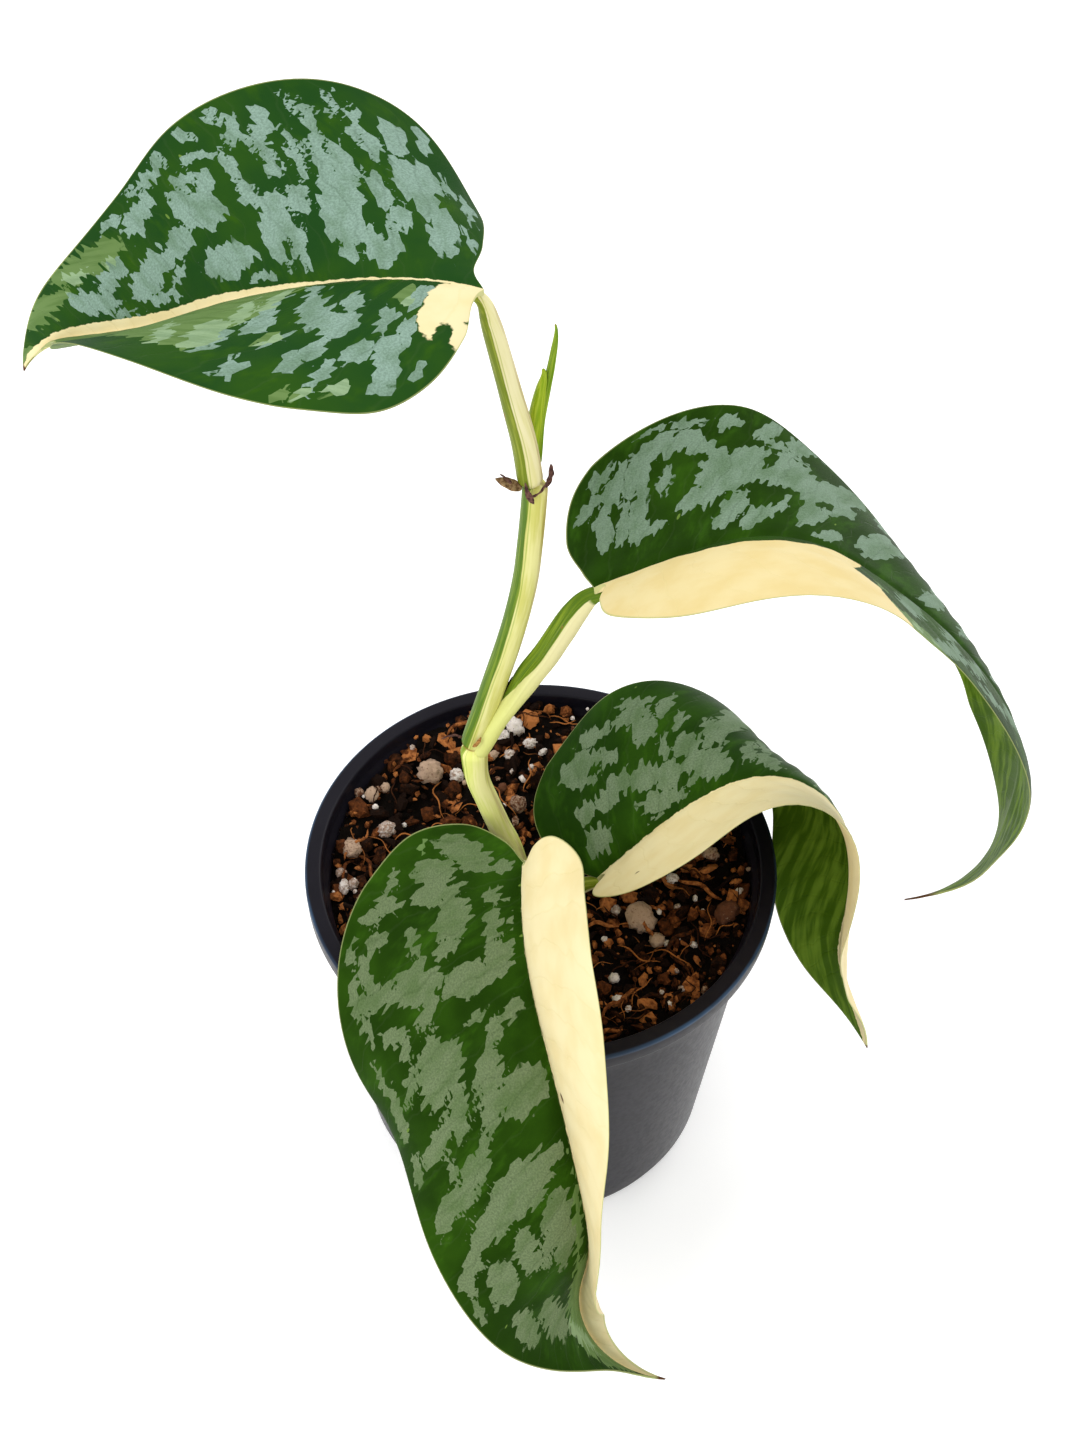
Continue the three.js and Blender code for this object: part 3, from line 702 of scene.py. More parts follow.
# %% Where the blade is silver
SILVER_SPOTS = {
    "leaf_1": [
        (10, -10, 5, 1.6, -50), (11.5, -16, 5.5, 2.4, -65), (21, -8, 5.5, 3.4, -75),
        (27, -7, 4, 1.4, -60), (19, -15, 4, 2, -75), (19, -26, 6.5, 4.2, -70),
        (15.5, -20, 4, 2, -70), (29.5, -15, 8.5, 4, -65), (30.5, -25, 6, 2.4, -70),
        (24, -21, 4, 1.6, -60), (36, -8, 5, 1.1, -78), (41.5, -12, 8.5, 3.4, -68),
        (38, -18, 4, 1.8, -60), (34.5, -27, 7, 1.3, -68), (39, -27, 6, 1.1, -65),
        (43.5, -26, 5, 1.3, -62), (48, -20, 3.5, 1.6, -50), (51.5, -26, 4, 1.4, -55),
        (53, -8, 6.5, 3.8, -12), (59, -19.5, 7.5, 3.4, -25), (57, -24, 3, 1.8, -50),
        (62, -26, 3, 1.6, -15), (65, -14, 4.5, 2.6, 25), (74, -9.5, 7, 3.8, 25), (71, -5, 4, 1.5, 0),
        (82, -3.4, 3, 0.7, 0), (91, -6.2, 7.5, 2.5, -8), (86, -11, 4.5, 2.8, 30),
        (76, -21.5, 5.5, 3, 35), (73, -27.5, 6, 1.1, 20), (24, -35, 4.2, 1.9, -70),
        (30, -35, 4, 1.2, -75), (27, -31, 3, 1.2, -75), (36.5, -33, 5, 1.2, -70),
        (45, -34, 3.4, 2, -75), (51, -34, 3.2, 1.3, -75), (57, -29.5, 4, 0.9, 0),
        (9, -25, 4, 0.8, -65), (6, -14, 4, 0.7, -60), (45, -3, 3, 0.5, 0), (12.5, 22, 5.5, 2.8, 92),
        (14.5, 14.5, 5.5, 2.1, 105), (10.5, 17, 3.5, 1.6, 95), (10.8, 5.5, 4.2, 1.7, 80),
        (18, 23.5, 3.8, 1.9, 62), (22.3, 30, 4.2, 1.3, 75), (12, 29, 3.2, 1.4, 60),
        (6.5, 25, 2.6, 0.9, 70), (28.3, 28.5, 3.2, 1.5, 85), (25, 24, 3.5, 2, 60),
        (23.5, 16, 4.6, 3.1, 90), (28.5, 12, 6.5, 2.9, 105), (22, 9, 3, 2, 80),
        (31.5, 4.5, 4.5, 1.2, 108), (36.7, 17, 5, 2.1, 80), (37, 32, 3, 1.4, 85),
        (44, 22.5, 6, 3.6, 95), (32, 22, 3, 1.2, 55), (19, 33, 2.5, 0.9, 30), (24, 36, 2, 0.9, 60),
        (38, 8, 6, 2, 80), (42, 12, 6, 1.8, 100), (52, 22, 6, 1.2, 110), (20, -38, 3.4, 0.8, -75),
        (34, -38.5, 3, 0.9, -70), (40.5, -37.5, 2.6, 0.8, -60), (54, -36.5, 2.6, 0.8, -50),
        (61, -34.5, 3.2, 0.9, -40), (68, -31, 3, 1, -30), (79, -27, 3.6, 0.9, 10),
        (85, -21, 3.2, 1, 20), (96, -12, 3, 0.9, 10), (66, -8, 3, 0.9, 40), (14, -29, 3, 0.9, -65),
        (47.5, -29.5, 3, 0.9, -60),
    ],
    "leaf_2": [
        (-1.5, 22, 3.5, 1.6, 35), (2, 29, 3.4, 1.6, 45), (6.5, 29, 3, 1.1, 80),
        (4.5, 23.5, 4.4, 2.2, 60), (2.2, 15, 5, 2.1, 98), (7, 15, 5.4, 1.4, 84),
        (10.7, 16, 7, 2.1, 85), (13, 11, 3.4, 1.6, 0), (11, 28, 6.5, 2.7, 70),
        (17.5, 33.5, 7, 3.2, 8), (25.5, 31, 4.6, 2.2, -35), (17, 23.5, 2.8, 1.7, 90),
        (25.5, 16, 6, 2.7, 15), (28, 24.5, 5.4, 2.7, 60), (34, 23, 10, 5.4, 38),
        (31.5, 9.5, 6.5, 2.4, 55), (39, 8.5, 7, 2, 42), (46, 24, 8.5, 6, 30),
        (50, 10.5, 5.5, 2.3, 50), (56, 21, 9.5, 5.4, 38), (52.5, 4.5, 4.2, 1.3, 35),
        (63, 28, 7.5, 3, 50), (66, 10.5, 6.5, 2.7, 45), (71, 17.5, 6.5, 3, 48),
        (43, 38, 5.5, 1.7, 45), (32, 37.5, 3.4, 1.8, 30), (52, 37, 6, 2.2, 50), (59, 40, 4, 1.4, 20),
        (14, 39, 3, 0.9, 10), (23, 39, 3, 1.2, 0), (46, 32.5, 5, 1.2, -15), (74, 33, 7, 2, 70),
        (95, 13, 8, 1.7, 62), (86, 32, 9, 1.9, 98), (99, 32, 7, 1.3, 112), (107, 26, 7, 2.7, 100),
        (88, 20, 7, 2.6, 60), (118, 8, 5.5, 2.6, 60), (108, 10, 8, 2.2, 60), (82, 8, 7, 1.8, 55),
        (120, 17, 4, 1.6, 70), (132, 10, 6, 2.2, 60), (142, 5, 6, 1.8, 30), (150, 8, 4, 1.5, 40),
        (71, -8, 7.5, 3, 58), (85, -3.5, 7, 1.9, 60), (92, -8.5, 6.5, 2, 60),
        (78.5, -20.5, 10, 2.4, 42), (95, -17, 5, 1.6, 30), (108, -6, 8, 2.6, 45),
        (66, -25, 3.5, 1.1, 60), (83, -13, 4, 1.2, 55), (122, -6, 6, 2, 40), (135, -5, 6, 1.8, 20),
    ],
    "leaf_3": [
        (9, 24.5, 6.8, 4.6, -10), (17, 22.5, 3.2, 2.7, 60), (15, 31, 5, 2.2, -15),
        (25.5, 30, 4.6, 2.1, 0), (27.5, 25, 4.5, 3, 90), (27, 34, 4, 1.6, -15),
        (33, 30.5, 3.5, 1.1, 75), (35, 24.5, 3, 1.2, 75), (15.5, 14.5, 6, 2.8, 20),
        (23.5, 12.5, 6, 3, -15), (30.5, 17, 3.2, 1.1, 75), (35, 14.5, 5.4, 2.3, 68),
        (34, 9, 8.4, 4.2, 8), (25.5, 5, 5.8, 2.3, -20), (38.5, 6, 4, 3, 0), (6.2, 6.5, 4.4, 3.2, 10),
        (6.5, 14, 2.2, 1.6, 0), (22, 1.5, 3, 0.6, 0), (39.5, 17, 7, 1.2, 78), (43, 22, 8, 1.4, 80),
        (45.5, 29, 8, 2.2, 82), (47.5, 12, 5, 1.3, 80), (51, 7, 4, 2.6, 95), (51, 16, 5, 1.6, 95),
        (54.5, 26, 7, 2.2, 100), (53.5, 36, 5.5, 1.2, 85), (62, 22, 6, 2.6, 110), (66, 9, 6, 2, 70),
        (76, 16, 7, 2.6, 60), (86, 8, 7, 2, 40), (96, 14, 6, 2, 30), (108, 6, 7, 1.8, 25),
        (122, 6, 6, 1.6, 20),
    ],
    "leaf_4": [
        (0.3, -6, 3.6, 1.9, 95), (-4, -13, 6.5, 3.4, 50), (-8, -18, 5, 2.6, 60),
        (-2, -22.5, 5, 3.2, 90), (3.8, -18, 3.4, 2.2, 85), (4, -22.5, 4.4, 2.8, 90),
        (7.3, -6.8, 2.6, 1.9, 60), (14.5, -7, 4.4, 1.9, -5), (14.3, -1.7, 2.2, 0.7, -20),
        (11, -16.5, 5.4, 4.6, -20), (17, -17, 4, 2.4, -50), (23, -6, 5, 3.2, -45),
        (26, -13.5, 6, 3.6, -80), (23.5, -26, 6.4, 4.6, 90), (30, -24, 4.6, 1.8, -32),
        (23, -35, 3.4, 2.6, 90), (18.5, -38, 4, 1.6, 30), (24, -39.5, 3, 1.5, 90),
        (35, -5, 4, 1.6, -60), (39, -10.5, 6, 1.4, -42), (34.3, -13, 3.2, 1.1, -60),
        (52.3, -7, 6.6, 4.4, -50), (50.5, -14.5, 9.5, 2.9, -15), (42.5, -21, 5.6, 2.9, -20),
        (44, -26, 8.5, 3.5, -14), (53.5, -22, 6.5, 2.3, -15), (72, -12.5, 9, 4.6, -52),
        (67, -5, 5.5, 1.5, -60), (79, -20.5, 9, 2.7, -48), (84.5, -7.5, 10.5, 3.8, -12),
        (86.5, -15, 5.4, 3, 0), (93.5, -21.5, 6.2, 3.2, -8), (108.5, -18.5, 6.4, 2.9, 0),
        (113, -11.5, 10, 3, 8), (100, -28, 4, 1.2, 0), (57, -26.5, 6, 1.3, -32),
        (61, -30, 6.5, 1.9, -42), (65, -27, 3, 0.8, 0), (77, -31, 6, 2.2, -30),
        (73, -26.5, 5, 1.8, -30), (51.5, -38.5, 7.4, 2, 0), (66.5, -37, 4.4, 2, -10),
        (44.5, -32, 5.4, 1.3, -28), (33, -33.5, 4, 1.9, 75), (37.5, -31, 1.6, 1.3, 0),
        (28.5, -40, 4, 1.2, 15), (4, -33, 3.8, 2.2, 60), (6.5, -37.5, 3, 1.5, 90),
        (12, -36, 2.7, 1.5, -60), (-1, -33.5, 3, 1.2, -15), (14, -27, 2.4, 1.1, 20),
        (13, -42, 2.2, 1.2, 0), (20, -42, 3, 1.7, 0), (65, -19.5, 8, 1.3, -22),
        (70, -24, 7, 1.6, -20), (128, -6, 9, 1.6, 12), (40, -40.5, 3.5, 0.9, 5),
        (90, -28, 6, 1.7, -20), (86, -26, 7, 1.6, -20),
    ],
}

# %% Dark gaps inside the silver
DARK_GAPS = {
    "leaf_1": [
        (22.5, -13.5, 4.5, 1.3, -65), (26, -19, 4, 1, -60), (39, -7, 3, 0.9, -70),
        (12.5, 14, 3.6, 1.2, 75),
    ],
    "leaf_2": [
        (22.5, 25.5, 4.4, 3, 60), (14, 25, 2.6, 1.3, 60), (40, 14, 5, 3.8, 35),
        (41.5, 26.5, 3.6, 1.5, 62), (54.5, 17, 5, 1.5, 36), (64, 25, 5, 1, 50), (28, 10, 2, 1.6, 60),
        (20, 21, 5, 1.4, 10),
    ],
    "leaf_3": [
        (21, 24.5, 4.5, 2.3, -10), (13, 22, 2.2, 1.2, 10), (32.3, 6.5, 2.4, 1.3, 40),
        (20, 19, 7, 2, -5), (33, 12, 2, 0.8, 20),
    ],
    "leaf_4": [
        (15.5, -11.3, 4, 1.2, -5), (17.5, -14, 1.5, 1, 0), (56.5, -18.3, 5, 0.9, -20),
        (92, -10, 5, 0.9, -8), (74, -7, 3, 0.9, -40),
    ],
}


def silver_depth(name, x, y):
    """How far inside the silver a point lies: inside a spot and outside every gap."""
    return np.minimum(spot_depth(SILVER_SPOTS[name], x, y), -spot_depth(DARK_GAPS[name], x, y))


print("silver spots:", {name: len(spots) for name, spots in SILVER_SPOTS.items()})

# %% [markdown]
# ## Light green bands and dead spots
# Where a blade has only some of its green tissue it is a light yellowish green: along the midrib
# of the front leaf, at two tips, and over much of the upper left leaf's near half. A mesh edge
# would be hard, so these are soft spots again, with one broad band.

# %% Where the green is light and yellowish, or dead
LIGHT_SPOTS = {
    "leaf_1": [
        (93, -14.2, 11.5, 2.8, 14), (107, -7.2, 8.5, 2.4, 12), (13.5, 5.5, 3.4, 1.6, 80),
        (19, 33, 3, 1.1, 30), (24.5, 36.3, 1.8, 1.2, 80), (27.5, 37, 2, 1, 60), (33, 22, 2.4, 1, 45),
        (119, -1.5, 5, 1.4, -20),
    ],
    "leaf_2": [(66, -27, 9, 6, 0), (60, -14, 3, 2, 60), (172, 1, 15, 6, 0), (172, -1, 15, 6, 0)],
    "leaf_3": [(92, 3, 26, 1.6, 0)],
    "leaf_4": [
        (122, -3.2, 27, 4.4, -2), (88, -3, 14, 0.9, -8), (138, -4, 14, 3.5, 8), (-9, -26, 1.5, 1, 0),
    ],
}
LIGHT_BAND_START = 34
LIGHT_BAND_LEAN = 0.35
LIGHT_BAND_SOFT = 0.9
LIGHT_BAND_WIDTH = 30
LIGHT_BAND_NARROWS = 0.36
LIGHT_BAND_FROM = 45
DEAD_SPOTS = {"leaf_4": [(55.5, 2.8, 1.2, 0.55, 10)], "leaf_3": [(20, -21, 0.55, 0.5, 30)]}


def light_depth(name, x, y):
    """How far inside the light green a point lies. Leaf 1 also has a broad light band on its
    near half, from a slanting start to the tip, that keeps off the margin."""
    depth = spot_depth(LIGHT_SPOTS[name], x, y)
    if name == "leaf_1":
        start = LIGHT_BAND_SOFT * (x - LIGHT_BAND_START - LIGHT_BAND_LEAN * y)
        edge = LIGHT_BAND_WIDTH - LIGHT_BAND_NARROWS * (x - LIGHT_BAND_FROM) - y
        depth = np.where(y >= 0, np.maximum(depth, np.minimum(start, edge)), depth)
    return depth


# %% [markdown]
# ## How fast a depth changes
# To colour a whole small cell at once, the shader needs the depth at the cell's middle, where it
# can't read an attribute. A picture of the depth would be coarse. So the mesh also carries how
# fast the depth changes along both vein coordinates, and the shader adds that times the distance.

# %% Depths in the veins' own coordinates
RATE_STEP = 0.3
STEEPEST = 2.0


def with_rates(leaf, depth_of, x, y):
    """A depth and its rates of change along both vein coordinates. The rates along x and y come
    from differences. The chain rule gives two equations for the other two, solved here."""
    side = np.where(y < 0, -1, 1)
    vein = lambda i: lambda u, v: vein_place(leaf, u / leaf["length"], v * side)[i]
    along_x = lambda of: (of(x + RATE_STEP, y) - of(x - RATE_STEP, y)) / (2 * RATE_STEP)
    along_y = lambda of: (of(x, y + RATE_STEP) - of(x, y - RATE_STEP)) / (2 * RATE_STEP)
    depth_x, depth_y = along_x(depth_of), along_y(depth_of)
    started_x, started_y = along_x(vein(0)), along_y(vein(0))
    walked_x, walked_y = along_x(vein(1)), along_y(vein(1))
    scale = started_x * walked_y - started_y * walked_x
    by_started = (depth_x * walked_y - depth_y * walked_x) / scale
    by_walked = (depth_y * started_x - depth_x * started_y) / scale
    limit = lambda rate: np.clip(rate, -STEEPEST, STEEPEST)
    return np.stack([depth_of(x, y), limit(by_started), limit(by_walked)], -1)


# %% [markdown]
# ## The torn edges of the patches
# Close by, a silver patch ends in small steps, because whole cells of the real leaf are silver or
# green. Noise on the edge would look like smoke. So the shader lays stretched cells along the
# veins and asks for the depth at each cell's middle.

# %% The torn patches as a node group
CELL_ACROSS = 1.0
CELL_ALONG = 2.3
CELL_STEP = 1.1
EDGE_BEND = 1.9
EDGE_SOFT = 0.03
SEED_STEP = 40.0


def make_patches():
    """Inside or outside a patch, the same for all of one small cell: the depth at the middle of
    the cell, plus a slow bend and a step that each cell draws for itself. The step is smaller
    where the depth hardly changes, so that wide flat places stay whole. Above zero it is in."""
    defaults = {"Vein": None, "Depth": None, "Clear": 0.0}
    tree, w, entry, leave = new_group("torn_patches", defaults, "Mask")
    started, walked, seed = w.parts(entry["Vein"])
    depth, by_started, by_walked = w.parts(entry["Depth"])
    across = w.plus(w.math("DIVIDE", started, CELL_ACROSS), w.times(seed, SEED_STEP))
    spot = w.vector(across, w.math("DIVIDE", walked, CELL_ALONG))
    middle = w.cells(spot, output="Position", dimensions="2D")
    chance = w.parts(middle.node.outputs["Color"])[0]
    away = w.add("ShaderNodeVectorMath", {0: middle, 1: spot}, operation="SUBTRACT")
    aside, onward, _ = w.parts(away)
    rise = w.times(w.times(aside, CELL_ACROSS), by_started)
    fall = w.times(w.times(onward, CELL_ALONG), by_walked)
    wave = w.noise(middle, scale=0.4, detail=2.0, roughness=0.6)
    steep = w.math("MAXIMUM", w.math("ABSOLUTE", by_started), w.math("ABSOLUTE", by_walked))
    steep = w.step(steep, 0.1, 0.9)
    step = w.times(w.times(w.less(chance, 0.5), CELL_STEP), steep)
    bend = w.times(w.less(wave, 0.5), EDGE_BEND)
    level = w.plus(w.plus(depth, w.plus(rise, fall)), w.plus(step, bend))
    level = w.less(level, entry["Clear"])
    tree.links.new(w.step(level, -EDGE_SOFT, EDGE_SOFT), leave)
    return tree


PATCHES = make_patches()

# %% [markdown]
# ## The finish of the blades
# A blade shows green that is fresher in clouds, silver, light green, cream with pin spots, and a
# paler streaked underside. Each leaf could have its own material, but they belong to one plant. So
# one material dresses all four and reads each leaf's maps and tone from the mesh.

# %% The colours of the blade
GREEN_DEEP = (0.012, 0.038, 0.002, 1)
GREEN_FRESH = (0.032, 0.096, 0.005, 1)
GREEN_COOL = (0.013, 0.060, 0.012, 1)
SILVER_WARM = (0.134, 0.182, 0.088, 1)
# A blue silver, partly the leaf's own tone and partly painted sheen.
SILVER_BLUE_AND_SHEEN = (0.215, 0.320, 0.258, 1)
LIGHT_GREEN = (0.17, 0.27, 0.09, 1)
LIGHT_SILVER = (0.28, 0.40, 0.20, 1)
FLECK_GREEN = (0.20, 0.32, 0.06, 1)
CREAM_PALE = (0.80, 0.70, 0.41, 1)
CREAM_RICH = (0.73, 0.585, 0.27, 1)
CREAM_VEIN = (0.74, 0.62, 0.29, 1)
UNDER_GREEN = (0.045, 0.100, 0.004, 1)
UNDER_LIGHT = (0.12, 0.21, 0.017, 1)
BROWN = (0.10, 0.045, 0.02, 1)
MARGIN_LIGHT = (0.42, 0.46, 0.18, 1)
SHEET_STEP = 50.0


class BladeMaps:
    """The sockets that every layer reads: the vein place, the maps and the tone from the mesh,
    and vectors made of them. Each half of a leaf has a sheet of its own in the noise, so that
    no two halves look alike."""

    def __init__(self, w):
        """Reads the attributes and puts the vectors together."""
        self.vein = w.attribute("blade_vein")
        self.started, self.walked, seed = w.parts(self.vein)
        x, y, self.margin = w.parts(w.attribute("blade_place"))
        self.cream, self.dry, self.upper = w.parts(w.attribute("blade_zone"))
        self.cool, self.bluish, self.rich = w.parts(w.attribute("blade_tone"))
        self.out = w.math("ABSOLUTE", y)
        self.sheet = w.times(seed, SHEET_STEP)
        self.flat = w.vector(x, y, self.sheet)
        self.vein_flat = w.vector(self.walked, self.started, self.sheet)


def drawn_out(w, maps, share):
    """The vein place with its length cut to a share, so that a noise is drawn out along it."""
    return w.vector(w.times(maps.walked, share), maps.started, maps.sheet)


def vein_lines(w, maps):
    """1 on a side vein and 0 between: the vein number's distance from a whole number."""
    spot = w.vector(w.times(maps.started, 0.1), w.times(maps.walked, 0.1))
    number = w.math("DIVIDE", maps.started, VEIN_SPACING)
    number = w.plus(number, w.times(w.noise(spot), 1.2))
    return w.step(w.math("PINGPONG", number, 0.5), 0.06, 0.0)


# %% The kinds of tissue


def green_tissue(w, maps, washed):
    """Deep green, fresher in clouds and washes, with a few light flecks along the veins."""
    cloud = w.noise(maps.flat, scale=0.07, detail=3.0)
    clouded = w.step(cloud, 0.35, 0.75, 0.0, 0.5)
    fresh = w.plus(clouded, w.step(washed, 0.5, 0.75, 0.0, 0.6), clamp=True)
    green = w.mix(fresh, w.mix(maps.cool, GREEN_DEEP, GREEN_COOL), GREEN_FRESH)
    fleck = {"Vector": drawn_out(w, maps, 0.4), "Size": 2.4, "Share": 0.05, "Radius": 0.12}
    return w.mix(w.times(w.group(SPECKS, fleck), 0.6), green, FLECK_GREEN)


def silver_tissue(w, maps, washed, grain):
    """Silver from warm to a blue tone that is partly the leaf's own and partly painted sheen,
    lighter and darker by a fine grain, with a wash of green.
    """
    silver = w.mix(maps.bluish, SILVER_WARM, SILVER_BLUE_AND_SHEEN)
    silver = w.scaled(silver, w.step(grain, 0.3, 0.7, 0.82, 1.22))
    return w.mix(w.step(washed, 0.38, 0.68, 0.0, 0.38), silver, GREEN_FRESH)


def light_tissue(w, maps, patches):
    """Light green, paler where it is silver as well, with streaks of fresh green."""
    streak = w.group(STREAKS, {"Vector": maps.flat, "Width": 1.5, "Stretch": 10.0})
    lit = w.mix(patches, LIGHT_GREEN, LIGHT_SILVER)
    return w.mix(w.step(streak, 0.4, 0.62, 0.0, 0.32), lit, GREEN_FRESH)


def cream_tissue(w, maps, lines):
    """Pale cream, richer in clouds, with yellower veins and a few brown pin spots."""
    deeper = w.step(w.noise(maps.flat, scale=0.12, detail=3.0), 0.35, 0.7, 0.0, 0.5)
    deeper = w.plus(deeper, w.times(maps.rich, 0.6), clamp=True)
    milk = w.mix(deeper, CREAM_PALE, CREAM_RICH)
    milk = w.mix(w.times(lines, 0.22), milk, CREAM_VEIN)
    pins = w.group(SPECKS, {"Vector": maps.flat, "Size": 11.0, "Share": 0.35, "Radius": 0.02})
    return w.mix(pins, milk, BROWN)


def under_tissue(w, maps):
    """The underside: yellow green with long lighter streaks."""
    streak = w.group(STREAKS, {"Vector": maps.flat, "Width": 2.2, "Stretch": 9.0})
    return w.mix(w.step(streak, 0.42, 0.66), UNDER_GREEN, UNDER_LIGHT)


# %% The blade's material


def make_blade_finish():
    """Layer over layer: green, silver patches that keep off the midrib and the margin, light
    green, and cream inside its ragged edge. The underside has the same cream. A light line
    runs round the margin, and dead places are brown."""
    material, shader, w = new_finish("blade", IOR=1.45, Specular_IOR_Level=0.015)
    maps = BladeMaps(w)
    clear = w.step(maps.out, 2.5, 0.5, 0.0, 2.0)
    clear = w.plus(clear, w.step(maps.margin, 1.6, 0.3, 0.0, 2.0))
    silver_map = {"Vein": maps.vein, "Depth": w.attribute("blade_silver"), "Clear": clear}
    patches = w.group(PATCHES, silver_map)
    light = w.group(PATCHES, {"Vein": maps.vein, "Depth": w.attribute("blade_light")})
    washed = w.noise(drawn_out(w, maps, 0.45), scale=0.22, detail=3.0, roughness=0.6)
    grain = w.noise(maps.flat, scale=2.2, detail=2.0, roughness=0.7)
    lines = vein_lines(w, maps)

    green = w.mix(w.times(lines, 0.04), green_tissue(w, maps, washed), SILVER_WARM)
    silver = silver_tissue(w, maps, washed, grain)
    silver = w.mix(w.times(lines, 0.16), silver, GREEN_DEEP)
    leaf_green = w.mix(patches, green, silver)
    leaf_green = w.mix(w.times(light, 0.74), leaf_green, light_tissue(w, maps, patches))

    ragged = w.noise(maps.vein_flat, scale=0.5, detail=3.0)
    torn = w.plus(maps.cream, w.times(w.less(ragged, 0.5), 1.1))
    creamy = w.step(torn, -0.05, 0.12)
    milk = cream_tissue(w, maps, lines)
    top = w.mix(creamy, leaf_green, milk)
    below = w.mix(creamy, under_tissue(w, maps), milk)
    colour = w.mix(maps.upper, below, top)
    colour = w.mix(w.step(maps.margin, 0.35, 0.1, 0.0, 0.7), colour, MARGIN_LIGHT)
    colour = w.mix(w.step(maps.dry, 0.35, 0.65), colour, BROWN)

    skin = w.group(SKIN, {"Vector": maps.flat, "Size": 0.7})
    height = w.less(w.times(skin, 0.25), w.times(lines, 0.5))
    rough = w.plus(w.step(grain, 0.3, 0.7, 0.36, 0.46), w.times(patches, 0.06))
    normal = w.bump(height, 0.0002, strength=0.5)
    lay(w, shader, Base_Color=colour, Roughness=rough, Normal=normal)
    return material


BLADE = make_blade_finish()
print("blade finish:", len(BLADE.node_tree.nodes), "nodes")

# %% [markdown]
# ## The four leaves
# Each leaf takes the place of the solid of the same name. Its maps could be pictures wrapped round
# the blade, but a picture is only as fine as its dots. They are stored at the points of the mesh
# instead, and the material works out the fine edges.

# %% Make the four leaves
SILVER_SPREAD = {"leaf_1": 0.05, "leaf_2": 0.3, "leaf_3": 0.15, "leaf_4": 0.1}
# Each leaf's cool green, blue silver and rich cream. The blue silver of leaves 1 and 2 is partly painted
# sheen.
TONES = {"leaf_1": (0.8, 1, 0), "leaf_2": (0, 0.55, 0.9), "leaf_3": (0.1, 0.2, 0.1), "leaf_4": (0, 0, 0)}
DRY_TIP = {"leaf_1": 1.5, "leaf_2": 8.0, "leaf_3": 1.5, "leaf_4": 2.0}


def add_leaf(name):
    """One leaf, with its maps stored as attributes, standing for the solid of the same name."""
    leaf = LEAVES[name]
    points, faces, table, upper = blade_faces_and_points(name)
    x, y, margin, started, walked = table[:5]
    silver = with_rates(leaf, lambda u, v: silver_depth(name, u, v) + SILVER_SPREAD[name], x, y)
    light = with_rates(leaf, lambda u, v: light_depth(name, u, v), x, y)
    dry = np.clip(1 + (x - leaf["length"]) / (2 * DRY_TIP[name]), 0, 1)
    dead = np.clip(0.5 + spot_depth(DEAD_SPOTS.get(name, []), x, y), 0, 1)
    values = {
        "blade_vein": np.stack([started, walked, int(name[-1]) + np.where(y < 0, 0.5, 0.0)], -1),
        "blade_place": np.stack([x, y, margin], -1),
        "blade_zone": np.stack([CREAM[name](x, y), np.maximum(dry, dead), upper], -1),
        "blade_tone": np.tile(TONES[name], (len(x), 1)),
        "blade_silver": silver,
        "blade_light": light,
    }
    piece = add_piece(name + "_blade", points, faces, values, BLADE)
    return stand_for(piece, "leaf_blade", name)


for leaf_name in LEAVES:
    add_leaf(leaf_name)

# %% [markdown]
# ## Stem and stalks
# The stem is round, and a leaf stalk has a channel down one side. A curve with a round bevel can't
# have a channel. So a section with a groove is carried along a smooth path and closes in a dome at
# the ends. Each point keeps the direction in which it looks out, so that a stripe can follow one
# side of the stalk round its bends.

